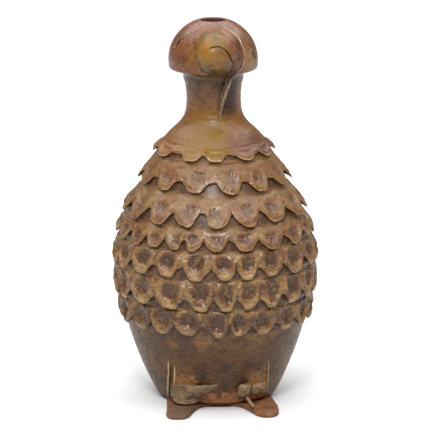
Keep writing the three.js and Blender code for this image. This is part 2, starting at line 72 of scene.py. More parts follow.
lens = bpy.data.cameras.new("camera")
lens.sensor_fit = "HORIZONTAL"
lens.angle = radians(6.61)
lens.clip_end = 100
bpy.context.scene.camera = stand(lens, -4, 13.2, 3.6)
bpy.context.scene.view_settings.view_transform = "Standard"

# Studio: a plain white floor, one wide soft box over it and a smaller one in front.
paper = bpy.data.materials.new("white_paper")
paper.use_nodes = True
paper.node_tree.nodes["Principled BSDF"].inputs["Base Color"].default_value = (0.6, 0.6, 0.6, 1)
paper.node_tree.nodes["Principled BSDF"].inputs["Roughness"].default_value = 0.9
ground = bmesh.new()
bmesh.ops.create_grid(ground, x_segments=4, y_segments=4, size=6)
ground_mesh = bpy.data.meshes.new("studio_floor")
ground.to_mesh(ground_mesh)
ground.free()
ground_mesh.materials.append(paper)
set_out(ground_mesh)

air = bpy.data.worlds.new("studio_air")
bpy.context.scene.world = air
air.use_nodes = True
air.node_tree.nodes["Background"].inputs["Color"].default_value = (1, 1, 1, 1)
air.node_tree.nodes["Background"].inputs["Strength"].default_value = 0.2


def soft_box(name, azimuth, elevation, distance, size, power, at=aim):
    lamp = bpy.data.lights.new(name, "AREA")
    lamp.shape = "SQUARE"
    lamp.size = size
    lamp.energy = power
    stand(lamp, azimuth, elevation, distance, at)


soft_box("overhead_box", 0, 90, 2.4, 5, 255, Vector((0, 0.45, 0)))
soft_box("front_box", -10, 42, 1.9, 0.45, 24)

# Foot plate: a slab of rolled clay under the pot, cut out with two rounded toes in front.
# It is bare stoneware, orange where the fire reached it, with its cut edge pressed round.
plate_thickness = 5 * mm
plate_radius = 53 * mm
plate_points = 480
full_height = 368 * mm
# Half the outline over each toe, in millimetres across and forward, from the front of the
# pot round the toe to its side
left_toe = [(0, 52), (8, 52.4), (15, 54.6), (20, 59.5), (24.3, 68), (28, 77.5), (32, 87.5), (38, 94)]
left_toe += [(46, 94.6), (52.2, 89), (54.8, 79), (55, 68), (54.4, 56), (52.8, 40), (51.6, 22), (52.4, 8)]
right_toe = [(0, 52), (8, 52.4), (15, 54.6), (20.5, 60), (24.8, 68), (28.5, 78), (31.5, 88.5), (37, 95)]
right_toe += [(44, 95.8), (50.4, 93.6), (53.6, 86), (53.2, 74), (52, 60), (50.8, 40), (50.6, 22), (52, 8)]


def sheet_of_clay(around, across, place, **marks):
    """A closed skin of clay: each point of a grid goes where place(u, v) puts it."""
    shape = bmesh.new()
    bmesh.ops.create_grid(shape, x_segments=around, y_segments=across, size=1)
    layers = [(shape.verts.layers.float.new(label), mark) for label, mark in marks.items()]
    for point in shape.verts:
        u, v = (point.co.x + 1) / 2, (point.co.y + 1) / 2
        point.co = place(u, v)
        for layer, mark in layers:
            point[layer] = mark(u, v)
    return knit(shape)


def knit(shape):
    """Welds the seams and poles of a shape and turns its faces outwards."""
    bmesh.ops.remove_doubles(shape, verts=shape.verts, dist=0.002 * mm)
    bmesh.ops.dissolve_degenerate(shape, edges=shape.edges, dist=0.001 * mm)
    bmesh.ops.recalc_face_normals(shape, faces=shape.faces)
    return shape


def ease(low, high, x):
    """0 up to low and 1 from high on, with an easy curve between; low may be the higher."""
    t = min(max((x - low) / (high - low), 0), 1)
    return t * t * (3 - 2 * t)


def mix(a, b, t):
    return a + (b - a) * t


def crest(x, middle, width):
    """1 where x is at the middle, fading on both sides over about a width."""
    return exp(-(((x - middle) / width) ** 2))


def unevenness(point, size, seed=0.0):
    """Between -1 and 1, changing over about size from place to place."""
    return noise.noise(point / size + Vector((seed, 2.3 * seed, 0.7 * seed)))


def mark_edges(shape):
    """Stores how sharply each point stands out, from 0 in a hollow to 1 on an edge."""
    layer = shape.verts.layers.float.new("edge")
    raw = {}
    for point in shape.verts:
        near = [edge.other_vert(point).co for edge in point.link_edges]
        middle = sum(near, Vector()) / len(near)
        reach = sum((other - point.co).length for other in near) / len(near)
        raw[point] = (point.co - middle).dot(point.normal) / max(reach, 1e-7)
    for point in shape.verts:
        near = [raw[edge.other_vert(point)] for edge in point.link_edges]
        bend = (raw[point] + sum(near)) / (1 + len(near))
        point[layer] = min(max(0.5 + 2.2 * bend, 0), 1)


def lute(name, shape, finish, slot, *nodes):
    """Makes a finished shape a piece of the vessel, in place of its solids."""
    shape.normal_update()
    mark_edges(shape)
    mesh = bpy.data.meshes.new(name)
    shape.to_mesh(mesh)
    shape.free()
    mesh.polygons.foreach_set("use_smooth", [True] * len(mesh.polygons))
    mesh.materials.append(finish)
    piece = set_out(mesh)
    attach(piece, "root")
    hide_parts(*nodes)
    return piece


def through(points, t):
    """A place along a smooth curve through points, t going from 0 to 1."""
    at = min(max(t, 0), 1) * (len(points) - 1)
    i = min(int(at), len(points) - 2)
    a, b, c, d = (points[min(max(k, 0), len(points) - 1)] for k in (i - 1, i, i + 1, i + 2))
    s = at - i
    return 0.5 * (2 * b + (c - a) * s + (2 * a - 5 * b + 4 * c - d) * s**2 + (3 * b - a - 3 * c + d) * s**3)


def plate_outline():
    """Evenly spaced points along the plate's outline, all the way round."""
    route = [Vector((-x, -forward, 0)) * mm for x, forward in reversed(right_toe[1:])]
    route += [Vector((x, -forward, 0)) * mm for x, forward in left_toe]
    turns = [radians(angle) for angle in range(10, 180, 10)]
    route += [Vector((cos(a), sin(a), 0)) * plate_radius for a in turns]
    route.append(route[0])
    steps = 3000
    curve = [through(route, i / steps) for i in range(steps + 1)]
    lengths = [0.0]
    for here, following in zip(curve, curve[1:]):
        lengths.append(lengths[-1] + (following - here).length)
    points = []
    at = 0
    for i in range(plate_points):
        while lengths[at + 1] < lengths[-1] * i / plate_points:
            at += 1
        points.append(curve[at])
    return points


outline = plate_outline()
outline_out = [
    (outline[(i + 1) % plate_points] - outline[i - 1]).cross(Vector((0, 0, 1))).normalized()
    for i in range(plate_points)
]
# The section across the slab: share of the way out from the pot's axis, inset and height
plate_section = [(0, 5, 5), (0.3, 5, 5), (0.6, 5, 5), (0.85, 5, 5), (1, 5, 5), (1, 3.2, 4.85)]
plate_section += [(1, 2, 4.5), (1, 1, 4), (1, 0.35, 3.2), (1, 0, 2.2), (1, 0.1, 1.2)]
plate_section += [(1, 0.5, 0.4), (1, 1.1, 0), (0.8, 1.1, 0), (0.4, 1.1, 0), (0, 1.1, 0)]


def plate_place(u, v):
    at = v * (len(plate_section) - 1)
    low = min(int(at), len(plate_section) - 2)
    share, inset, height = (
        mix(a, b, at - low) for a, b in zip(plate_section[low], plate_section[low + 1])
    )
    i = round(u * plate_points) % plate_points
    place = (outline[i] - outline_out[i] * inset * mm) * share
    place.z = height * mm
    lift = ease(0.5 * mm, 3 * mm, place.z) * share
    place.z += 0.35 * mm * lift * (unevenness(place, 9 * mm, 3) - 0.6)
    return place + outline_out[i] * 0.4 * mm * (unevenness(outline[i], 12 * mm, 5) - 0.6) * share


def shader(finish, kind, **settings):
    """Adds a shader node to a finish and sets its properties and input values."""
    node = finish.node_tree.nodes.new(kind)
    for label, value in settings.items():
        if hasattr(node, label):
            setattr(node, label, value)
        else:
            node.inputs[label.replace("_", " ")].default_value = value
    return node


def feed(finish, value, socket):
    """Gives a socket a number, a colour or what another node puts out."""
    if isinstance(value, tuple):
        socket.default_value = (*value, 1)
    elif isinstance(value, (int, float)):
        socket.default_value = value
    else:
        finish.node_tree.links.new(value, socket)


def band(finish, fact, *stops):
    """A colour band along a fact, with stops of place and colour."""
    ramp = shader(finish, "ShaderNodeValToRGB")
    points = ramp.color_ramp.elements
    for at, _ in stops[2:]:
        points.new(at)
    for point, (at, colour) in zip(points, stops):
        point.position, point.color = at, (*colour, 1)
    feed(finish, fact, ramp.inputs[0])
    return ramp.outputs["Color"]


def coats(finish, colour, **laid):
    """Lays coats over a colour in turn: each has its share and the colour it brings."""
    for name, (share, over) in laid.items():
        node = shader(finish, "ShaderNodeMix", data_type="RGBA", label=name)
        for value, at in ((share, 0), (colour, 6), (over, 7)):
            feed(finish, value, node.inputs[at])
        colour = node.outputs[2]
    return colour


def sums(finish, operation, first, *others):
    for other in others:
        node = shader(finish, "ShaderNodeMath", operation=operation)
        feed(finish, first, node.inputs[0])
        feed(finish, other, node.inputs[1])
        first = node.outputs[0]
    return first


def times(finish, *values):
    return sums(finish, "MULTIPLY", *values)


def plus(finish, *values):
    return sums(finish, "ADD", *values)


def spread(finish, value, *limits):
    """Stretches a value smoothly from two limits to 0 and 1, or to two more limits."""
    if not limits:
        return value
    node = shader(finish, "ShaderNodeMapRange", interpolation_type="SMOOTHSTEP")
    for given, socket in zip((value, *limits), node.inputs):
        feed(finish, given, socket)
    return node.outputs[0]


def place_on_clay(finish):
    return shader(finish, "ShaderNodeTexCoord").outputs["Object"]


def cloud(finish, size, *limits, detail=3, stretch=(1, 1, 1), move=0):
    """Noise over the clay in patches about size millimetres wide, spread to its limits."""
    turn = shader(finish, "ShaderNodeMapping", Scale=stretch, Location=(move, move, move))
    pattern = shader(finish, "ShaderNodeTexNoise", Scale=1 / (size * mm), Detail=detail, Roughness=0.6)
    feed(finish, place_on_clay(finish), turn.inputs[0])
    feed(finish, turn.outputs[0], pattern.inputs["Vector"])
    return spread(finish, pattern.outputs[0], *limits)


def stored(finish, label, *limits):
    """A mark that was stored on the mesh, spread to its limits."""
    mark = shader(finish, "ShaderNodeAttribute", attribute_name=label)
    return spread(finish, mark.outputs["Fac"], *limits)


def distance_along(finish, axis):
    split = shader(finish, "ShaderNodeSeparateXYZ")
    feed(finish, place_on_clay(finish), split.inputs[0])
    return split.outputs[axis]


def height_on_pot(finish, *limits):
    """0 on the floor and 1 at the crown, spread to its limits."""
    return spread(finish, sums(finish, "DIVIDE", distance_along(finish, "Z"), full_height), *limits)


def fired(name, colour_of, roughness=(0.3, 0.5), relief_of=None, coat=0.1):
    """A fired finish: colour_of gives its colour and relief_of the height of its skin."""
    finish = bpy.data.materials.new(name)
    finish.use_nodes = True
    skin = finish.node_tree.nodes["Principled BSDF"].inputs
    settings = {"Coat Weight": coat, "Coat Roughness": 0.2, "IOR": 1.5, "Specular IOR Level": 0.24}
    for label, value in settings.items():
        skin[label].default_value = value
    feed(finish, colour_of(finish), skin["Base Color"])
    feed(finish, cloud(finish, 5, 0.35, 0.65, *roughness), skin["Roughness"])
    grain = times(finish, cloud(finish, 0.9, detail=4), 0.4)
    relief = plus(finish, grain, cloud(finish, 5, detail=2, move=4))
    if relief_of:
        relief = plus(finish, relief, relief_of(finish))
    bump = shader(finish, "ShaderNodeBump", Strength=0.5, Distance=0.45 * mm)
    feed(finish, relief, bump.inputs["Height"])
    feed(finish, bump.outputs[0], skin["Normal"])
    return finish


def bare_clay_colour(finish):
    ash = times(finish, stored(finish, "ash"), cloud(finish, 5, 0.35, 0.6, 0.4, 0.9, detail=4))
    return coats(
        finish, (0.2, 0.078, 0.028),
        toast=(cloud(finish, 9, 0.38, 0.62, detail=5), (0.09, 0.042, 0.024)),
        grog=(cloud(finish, 1.3, 0.55, 0.75), (0.25, 0.13, 0.065)),
        ash=(ash, (0.085, 0.056, 0.038)),
        worn=(stored(finish, "edge", 0.55, 0.75, 0, 0.5), (0.2, 0.11, 0.065)),
    )


bare_clay = fired("bare_clay", bare_clay_colour, (0.5, 0.7), coat=0.0)
toe_middle = Vector((-38, -80, 5)) * mm


def ash_on_toe(u, v):
    return ease(30 * mm, 10 * mm, (plate_place(u, v) - toe_middle).length)


plate = sheet_of_clay(plate_points, 3 * (len(plate_section) - 1), plate_place, ash=ash_on_toe)
lute("foot_plate_clay", plate, bare_clay, "bare_clay", "foot_plate")

# Thrown body: the wheel-thrown pot itself, open inside, with throwing lines left in its
# wall. Brown ash glaze runs to khaki and gold towards the shoulder; the foot stays bare.
lean = 0.0092
wall = 6 * mm
floor_top = 13 * mm
body_stations = [(58.5, 5), (64.5, 17), (78, 49), (86.5, 77.5), (94, 137)]
body_stations += [(85, 182.5), (70, 211), (57, 237.5), (51, 249.5)]


def thrown_curve(stations, steps):
    """A smooth outline through stations of radius and height, in millimetres."""
    points = [Vector(station) * mm for station in stations]
    points = [2 * points[0] - points[1], *points, 2 * points[-1] - points[-2]]
    curve = []
    for a, b, c, d in zip(points, points[1:], points[2:], points[3:]):
        ab, bc, cd = ((q - p).length ** 0.5 for p, q in ((a, b), (b, c), (c, d)))
        leave = ((b - a) / ab - (c - a) / (ab + bc) + (c - b) / bc) * bc
        arrive = ((c - b) / bc - (d - b) / (bc + cd) + (d - c) / cd) * bc
        for step in range(steps):
            t = step / steps
            bend, pull = 3 * (c - b) - 2 * leave - arrive, 2 * (b - c) + leave + arrive
            curve.append(b + leave * t + bend * t**2 + pull * t**3)
    return curve + [points[-2]]


def throw(outline, turns):
    """Spins an outline of radius and height round the pot's axis."""
    shape = bmesh.new()
    points = [shape.verts.new((p[0], 0, p[1])) for p in outline]
    edges = [shape.edges.new(pair) for pair in zip(points, points[1:])]
    if outline[0][0] > mm:
        edges.append(shape.edges.new((points[-1], points[0])))
    bmesh.ops.spin(
        shape, geom=points + edges, cent=(0, 0, 0), axis=(0, 0, 1),
        angle=tau, steps=turns, use_merge=True,
    )
    return knit(shape)


def radius_on(curve, height):
    """Radius of a thrown outline at a height."""
    low, high = 0, len(curve) - 1
    while high - low > 1:
        middle = (low + high) // 2
        if curve[middle].y > height:
            high = middle
        else:
            low = middle
    span = curve[high].y - curve[low].y
    return mix(curve[low].x, curve[high].x, min(max((height - curve[low].y) / span, 0), 1))


def on_pot(radius, angle, height):
    """A point by its radius, its angle from straight ahead and its height, with the lean."""
    return Vector((radius * sin(angle) - lean * height, -radius * cos(angle), height))


body_wall = thrown_curve(body_stations, 20)
body_inside = [Vector((p.x - wall, p.y)) for p in reversed(body_wall[::10]) if p.y > floor_top]


def off_axis(place):
    """How far a place is from the pot's axis, and its angle from straight ahead."""
    return hypot(place.x, place.y), atan2(place.x, -place.y)


def press_throwing_lines(shape, curve):
    """Leans the pot and leaves the marks of the thrower's fingers in its outside."""
    for point in shape.verts:
        radius, angle = off_axis(point.co)
        outside = ease(-1 * mm, 0, radius - radius_on(curve, point.co.z))
        climb = point.co.z + 0.8 * mm * angle / pi
        line, slower = (sin(tau * climb / pitch) for pitch in (4.6 * mm, 7.9 * mm))
        wobble = unevenness(point.co, 30 * mm, 1)
        radius += outside * mm * (0.11 * (line + 0.6 * slower) * (0.6 + wobble) + 0.35 * wobble - 0.15)
        point.co = on_pot(radius, angle, point.co.z)


body = throw(
    [Vector((0, plate_thickness)), *body_wall, *body_inside, Vector((0, floor_top))], 400
)
press_throwing_lines(body, body_wall)

gold = (0.155, 0.075, 0.013)
orange = (0.15, 0.052, 0.016)
khaki = (0.215, 0.125, 0.046)
brown = (0.125, 0.051, 0.014)
dark_brown = (0.045, 0.02, 0.009)
red_brown = (0.125, 0.052, 0.024)
purple = (0.062, 0.03, 0.018)
olive = (0.088, 0.041, 0.01)


def wall_colour(finish):
    """Ash glaze as it changes from the foot of the pot up to its shoulder."""
    drift = plus(finish, height_on_pot(finish), cloud(finish, 20, 0.3, 0.7, -0.02, 0.02))
    light = band(
        finish, drift, (0, brown), (0.12, brown), (0.17, olive), (0.23, (0.225, 0.112, 0.034)),
        (0.3, (0.29, 0.167, 0.058)), (0.46, khaki), (0.6, (0.175, 0.1, 0.033)), (0.68, gold), (1, gold),
    )
    deep = band(
        finish, drift, (0, dark_brown), (0.12, dark_brown), (0.22, purple), (0.36, red_brown),
        (0.6, (0.16, 0.066, 0.026)), (0.68, orange), (1, orange),
    )
    return coats(
        finish, light,
        patches=(cloud(finish, 14, 0.4, 0.62, detail=5), deep),
        streaks=(cloud(finish, 14, 0.46, 0.66, 0, 0.5, stretch=(1, 1, 6), move=2), deep),
        violet=(cloud(finish, 6, 0.52, 0.7, 0, 0.6, detail=4, move=12), purple),
        ash=(cloud(finish, 4, 0.52, 0.66, 0, 0.7, detail=5, stretch=(1, 1, 1.6), move=6), light),
        grain=(cloud(finish, 2, 0.5, 0.62, 0, 0.55, stretch=(1, 1, 2.2)), dark_brown),
    )


def measured(finish, operation, place, other=(0, 0, 0)):
    """What a vector operation gives for a place and another vector."""
    node = shader(finish, "ShaderNodeVectorMath", operation=operation)
    feed(finish, place, node.inputs[0])
    node.inputs[1].default_value = other
    return node.outputs


def around_pot(finish, degrees, width, *others):
    """1 on the side that faces an angle, fading to 0 over a width, times any others."""
    flat = measured(finish, "MULTIPLY", place_on_clay(finish), (1, 1, 0))[0]
    level = measured(finish, "NORMALIZE", flat)[0]
    facing = measured(finish, "DOT_PRODUCT", level, way_to(degrees, 0))["Value"]
    return times(finish, spread(finish, facing, cos(radians(width)), 1), *others)


def body_colour(finish):
    murk = (cloud(finish, 4, 0.42, 0.6, detail=4, move=15), (0.1, 0.048, 0.024))
    rings = shader(
        finish, "ShaderNodeTexWave", bands_direction="Z", Scale=115, Distortion=6, Detail=3, Detail_Scale=0.6
    )
    feed(finish, place_on_clay(finish), rings.inputs["Vector"])
    low = times(finish, height_on_pot(finish, 0.06, 0.09), height_on_pot(finish, 0.17, 0.13))
    ringed = around_pot(finish, 4, 40, low, spread(finish, rings.outputs["Fac"], 0.45, 0.1), 0.85)
    toasted = plus(finish, stored(finish, "toasted"), cloud(finish, 4, 0.3, 0.7, -0.3, 0.3, detail=4))
    glazed = coats(
        finish, wall_colour(finish),
        # Painted shade: the wall under each strip is darkened down to its hem, mottled
        sheltered=(stored(finish, "lee", 0.1, 0.9, 0, 0.85), coats(finish, (0.035, 0.016, 0.012), murk=murk)),
        ringed=(ringed, (0.028, 0.014, 0.008)),
        toasted=(spread(finish, toasted, 0.25, 1.15, 0, 0.85), (0.265, 0.117, 0.033)),
    )
    drips = cloud(finish, 9, 0.3, 0.7, -0.017, 0.017, detail=4)
    front = spread(finish, around_pot(finish, -2, 52), 0.1, 0.6, 0.035, 0)
    return coats(
        finish, (0.33, 0.12, 0.04),
        burnt=(cloud(finish, 3, 0.4, 0.62, detail=4, stretch=(1, 1, 0.5)), (0.17, 0.062, 0.026)),
        glazed=(spread(finish, plus(finish, height_on_pot(finish), drips, front), 0.032, 0.046), glazed),
        # Painted highlight: the pale line along the legs' edges
        pale=(stored(finish, "pale", 0.2, 0.8, 0, 0.85), (0.4, 0.28, 0.18)),
    )


def throwing_relief(finish):
    return times(finish, cloud(finish, 10, detail=4, stretch=(1, 1, 9)), 0.9)


body_glaze = fired("body_glaze", body_colour, (0.38, 0.58), throwing_relief)
body_piece = lute("body_wall", body, body_glaze, "body_glaze", "body")

# Thrown neck: a second thrown piece, luted on at the knee of the shoulder. The same
# glaze lies over it in gold and red-brown, and darkens to purple beside the wattle.
neck_stations = [(51, 249.5), (43.5, 258.5), (31.5, 270.5), (27.6, 278.5), (26.2, 290.5)]
neck_stations += [(27.2, 305.5), (29, 312.5)]
neck_wall = thrown_curve(neck_stations, 16)
neck_inside = [Vector((p.x - wall, p.y)) for p in reversed(neck_wall[::8])]
neck = throw([*neck_wall, *neck_inside], 160)
press_throwing_lines(neck, neck_wall)


def neck_colour(finish):
    drift = plus(finish, height_on_pot(finish), cloud(finish, 12, 0.3, 0.7, -0.02, 0.02))
    light = band(
        finish, drift, (0.66, gold), (0.735, gold), (0.76, (0.17, 0.08, 0.018)), (0.8, (0.12, 0.055, 0.018)),
        (0.84, (0.1, 0.048, 0.014)), (1, (0.1, 0.048, 0.014)),
    )
    deep = band(
        finish, drift, (0.66, orange), (0.76, orange), (0.8, red_brown), (0.84, dark_brown), (1, dark_brown)
    )
    low = spread(finish, drift, 0.725, 0.69)
    high = height_on_pot(finish, 0.74, 0.78)
    return coats(
        finish, light,
        patches=(cloud(finish, 7, 0.43, 0.58, detail=5), deep),
        # Painted light: extra gold on the side that faces the front lamp
        sunny=(around_pot(finish, -14, 42, spread(finish, drift, 0.78, 0.72), 0.85), (0.16, 0.083, 0.008)),
        russet=(around_pot(finish, 36, 40, low, 0.75), (0.09, 0.028, 0.01)),
        violet=(around_pot(finish, 78, 46, low, 0.8), (0.075, 0.034, 0.019)),
        side=(around_pot(finish, 24, 30, high, 0.95), (0.022, 0.009, 0.007)),
        specks=(cloud(finish, 1.9, 0.52, 0.63, 0, 0.45), (0.17, 0.055, 0.02)),
        soot=(cloud(finish, 2.4, 0.55, 0.66, 0, 0.6, move=14), (0.05, 0.022, 0.012)),
    )


neck_glaze = fired("neck_glaze", neck_colour, (0.3, 0.48), coat=0.14)
lute("neck_wall", neck, neck_glaze, "neck_glaze", "neck")

# Head: a hollow thrown dome luted to the neck, open at the crown, with a rolled rim and
# two eye slits pressed through from outside. Red-brown glaze breaks ochre over it.
head_seat = 312.5 * mm
head_wall = 5 * mm
dome_radius = 43 * mm
dome_height = 329.5 * mm
dome_rise = 40.3 * mm
mouth_radius = 12.2 * mm
mouth_lip = 1.6 * mm


def dome_arc(radius, rise, end_radius, steps):
    end = acos(end_radius / radius)
    turns = [end * i / steps for i in range(steps + 1)]
    return [Vector((radius * cos(a), dome_height + rise * sin(a))) for a in turns]


under_stations = [(29, 312.5), (29.3, 315), (30.6, 317.6), (35, 319.8), (40.2, 320.9), (41.8, 321.5)]
under_stations += [(42.5, 323), (42.9, 327)]
under_head = thrown_curve(under_stations, 5)
head_curve = under_head[:-1] + dome_arc(dome_radius, dome_rise, mouth_radius + mouth_lip, 60)
crown = head_curve[-1].y
lip_roll = [Vector((mouth_radius + 0.9 * mm, crown)), Vector((mouth_radius + 0.2 * mm, crown - 0.4 * mm))]
head_hollow = [Vector((mouth_radius, crown - 1.5 * mm)), Vector((mouth_radius + 1 * mm, crown - head_wall))]
head_hollow += reversed(
    dome_arc(dome_radius - head_wall, dome_rise - head_wall, mouth_radius + head_wall, 20)
)
head_hollow += [Vector((35.5 * mm, 326 * mm)), Vector((26 * mm, 322 * mm)), Vector((23 * mm, head_seat))]
head = throw([*head_curve, *lip_roll, *head_hollow], 256)

eye_length = 11 * mm
eye_width = 4.8 * mm
eye_depth = 4.4 * mm
eye_reach = 9 * mm
eye_slant = radians(30)
eyes = {"left": (64, 31.5 * mm), "right": (-68, 19.5 * mm)}


def eye_frame(degrees, drop):
    """Middle of an eye on the dome, and the directions along it, across it and out of it."""
    height = crown - drop
    radius = radius_on(head_curve, height)
    angle = radians(degrees)
    level = Vector((cos(angle), sin(angle), 0))
    tilt = atan2((height - dome_height) * dome_radius**2, radius * dome_rise**2)
    over = Vector((sin(angle) * cos(tilt), -cos(angle) * cos(tilt), sin(tilt)))
    up = level.cross(over)
    up = up if up.z > 0 else -up
    along = up * cos(eye_slant) - level * copysign(sin(eye_slant), degrees)
    return on_pot(radius, angle, height), along, over.cross(along), over


eye_frames = {name: eye_frame(*eye) for name, eye in eyes.items()}
near_eyes = [
    edge for edge in head.edges
    if any((edge.verts[0].co - middle).length < eye_reach for middle, *_ in eye_frames.values())
]
bmesh.ops.subdivide_edges(head, edges=near_eyes, cuts=2, use_grid_fill=True)
# Marks where shade is painted: inside the hollow head and in the eye slits
hidden = head.verts.layers.float.new("hidden")
for point in head.verts:
    radius, angle = off_axis(point.co)
    point[hidden] = ease(-0.6 * mm, -2.5 * mm, radius - radius_on(head_curve, point.co.z))
    radius += 0.35 * mm * (unevenness(point.co, 22 * mm, 2) - 0.4)
    point.co = on_pot(radius, angle, point.co.z)
    for middle, along, across, over in eye_frames.values():
        gap = point.co - middle
        reach = hypot(gap.dot(along) / (eye_length / 2), gap.dot(across) / (eye_width / 2))
        if reach < 2 and gap.length < eye_reach:
            point.co -= over * eye_depth * ease(1.15, 0.4, reach)
            point[hidden] = max(point[hidden], ease(1.15, 0.6, reach))


def blush(finish, x, y, z, reach, *others):
    """1 at a place, fading to 0 at a reach in millimetres from it, times any others."""
    gap = measured(finish, "DISTANCE", place_on_clay(finish), Vector((x, y, z)) * mm)["Value"]
    return times(finish, spread(finish, gap, reach * mm, 0.3 * reach * mm), *others)


def head_colour(finish):
    honey = cloud(finish, 7, 0.38, 0.56, 0.1, 0.9, detail=4, move=17)
    straw = cloud(finish, 5, 0.45, 0.56, 0, 0.9, detail=5, move=16)
    lit = (height_on_pot(finish, 0.965, 0.985), (0.13, 0.05, 0.032))
    return coats(
        finish, (0.13, 0.04, 0.018),
        patches=(cloud(finish, 9, 0.4, 0.62, detail=5, move=1), (0.075, 0.026, 0.014)),
        ochre=(cloud(finish, 2.6, 0.5, 0.62, 0, 0.8, detail=4), (0.2, 0.085, 0.02)),
        cheek=(blush(finish, 31, -31, 334, 18, 0.8), (0.24, 0.135, 0.055)),
        honey=(blush(finish, -17, -42, 342, 24, honey), (0.165, 0.07, 0.015)),
        straw=(blush(finish, -6, -46, 341, 32, straw), (0.2, 0.092, 0.012)),
        brow=(blush(finish, 22, -26, 352, 22, 0.5), (0.16, 0.085, 0.035)),
        specks=(cloud(finish, 1.7, 0.54, 0.64, 0, 0.75, move=3), (0.04, 0.016, 0.01)),
        worn=(stored(finish, "edge", 0.6, 0.85, 0, 0.7), (0.27, 0.19, 0.11)),
        # Painted shade under the dome's rim
        under=(height_on_pot(finish, 0.877, 0.871), (0.085, 0.042, 0.014)),
        # Painted shade inside the mouth and eye slits, with painted light on the inner wall near the crown
        hidden=(stored(finish, "hidden"), coats(finish, (0.022, 0.011, 0.007), lit=lit)),
    )


head_glaze = fired("head_glaze", head_colour, (0.28, 0.45), coat=0.25)
lute("head_dome", head, head_glaze, "head_glaze", "head")

# Eyelids: a thin coil of clay round each eye slit, pinched to a low rim and smoothed
# into the dome while both are wet. The glaze of the head runs over them.
lid_border = 2.2 * mm
lid_proud = 0.35 * mm
dome_bend = 42 * mm
for name, (middle, along, across, over) in eye_frames.items():

    def lid_place(u, v):
        angle, turn = tau * u, tau * v
        uneven = unevenness(Vector((cos(angle), sin(angle), 0)), 0.6, 7)
        ring = along * cos(angle) * (eye_length / 2) + across * sin(angle) * (eye_width / 2)
        out = (along * cos(angle) + across * sin(angle)).normalized()
        wide = 0.5 * lid_border * (1 + cos(turn)) * (1 + 0.15 * uneven)
        rise = lid_proud * sin(turn) * (1 + 0.5 * uneven if turn < pi else 2.4)
        sag = (ring + out * wide).length ** 2 / (2 * dome_bend)
        return middle + ring + out * (wide + 0.3 * mm) + over * (rise - sag - 0.35 * mm)

    lid = sheet_of_clay(72, 20, lid_place)
    lute(f"eyelid_{name}_coil", lid, head_glaze, "head_glaze", f"eyelid_{name}")

# Beak: the lower half is a thumb of clay laid on the front of the head, and the upper
# half a hood drawn down over it from the brow, cut in an arch. Ochre glaze, olive specks.
chin_middle = Vector((-1 * mm, -34 * mm, crown - 33 * mm))
chin_size = Vector((14.5, 24, 17.2)) * mm
hood_middle = Vector((0, -35 * mm, crown - 25 * mm))
hood_size = Vector((21.5, 26.5, 19.5)) * mm
arch_gap = 0.4 * mm
slit_depth = 0.9 * mm


def leaning(point):
    return Vector((point.x - lean * point.z, point.y, point.z))


def off_dome(place):
    """How far a place stands off the dome, and which way is out."""
    level = Vector((place.x, place.y, 0))
    if place.z < dome_height:
        return level.length - radius_on(head_curve, place.z), level.normalized()
    stretched = Vector((place.x / dome_radius, place.y / dome_radius, (place.z - dome_height) / dome_rise))
    out = Vector((stretched.x / dome_radius, stretched.y / dome_radius, stretched.z / dome_rise))
    return (stretched.length - 1) * dome_radius, out.normalized()


def melt(place, reach):
    """Draws a place near the dome out to it in a fillet, as a thumb smears clay down."""
    off, out = off_dome(place)
    under = 0.3 * mm
    near = max(reach - abs(off + under), 0) / reach
    drawn = max(off, -under) + near * near * reach / 4
    return place + out * (mix(off, drawn, ease(-2 * reach, -reach, off)) - off)


def oval(middle, size, shave):
    """A ball of clay pulled to an oval, its points then moved by shave."""
    shape = bmesh.new()
    bmesh.ops.create_icosphere(shape, subdivisions=6, radius=1)
    skirt = shape.verts.layers.float.new("skirt")
    for point in shape.verts:
        place = Vector((point.co.x * size.x, point.co.y * size.y, point.co.z * size.z)) + middle
        place = shave(place, point.co.copy())
        point.co = leaning(place)
        off = off_dome(place)[0] + 6 * mm * unevenness(place, 7 * mm, 21)
        point[skirt] = ease(9 * mm, 1 * mm, off)
    return knit(shape)


def flared(place, way):
    """The arch stands straight on the bird's right and splays out on its left."""
    splay = 4 * mm * ease(6 * mm, -8 * mm, place.z - chin_middle.z) * ease(0, 6 * mm, place.x)
    return Vector((place.x + way * splay, place.y, place.z))


def hood_front(place):
    across = (place.x - hood_middle.x) / hood_size.x
    up = (place.z - hood_middle.z) / hood_size.z
    return hood_middle.y - hood_size.y * sqrt(max(1 - across**2 - up**2, 0))


def chin_shave(place, out):
    reach = hypot(out.x, out.z)
    place = flared(place, 1)
    if place.z < chin_middle.z:
        place.z = mix(place.z, chin_middle.z, 0.2)
    if out.y < 0:
        inset = mix(slit_depth, -0.1 * mm, ease(2 * mm, -10 * mm, place.x))
        place.y = mix(min(place.y, hood_front(place) + inset), place.y, ease(0.985, 1, reach))
    return melt(place, 11 * mm) + out * 0.6 * mm * (unevenness(place, 8 * mm, 4) - 0.4)


def hood_shave(place, out):
    spot = flared(place, -1) - chin_middle
    reach = hypot(spot.x / (chin_size.x + arch_gap), spot.z / (chin_size.z + arch_gap))
    front = ease(0, 0.35, -out.y)
    if place.x < 0:
        place.x *= 0.88
    place = melt(place, 10 * mm)
    place.y += front * 9 * mm * ease(1.0, 0.96, reach) * ease(-8.5 * mm, -6 * mm, spot.x)
    lip = crest(reach, 1.06, 0.05) * front
    right = ease(4 * mm, 10 * mm, place.x) * ease(5 * mm, -3 * mm, spot.z)
    folds = sin((reach - 1) * 34) * right * ease(1.02, 1.1, reach) * ease(1.45, 1.3, reach)
    return place + out * mm * (0.3 * lip + 0.4 * folds * front + 0.6 * (unevenness(place, 11 * mm, 6) - 0.5))


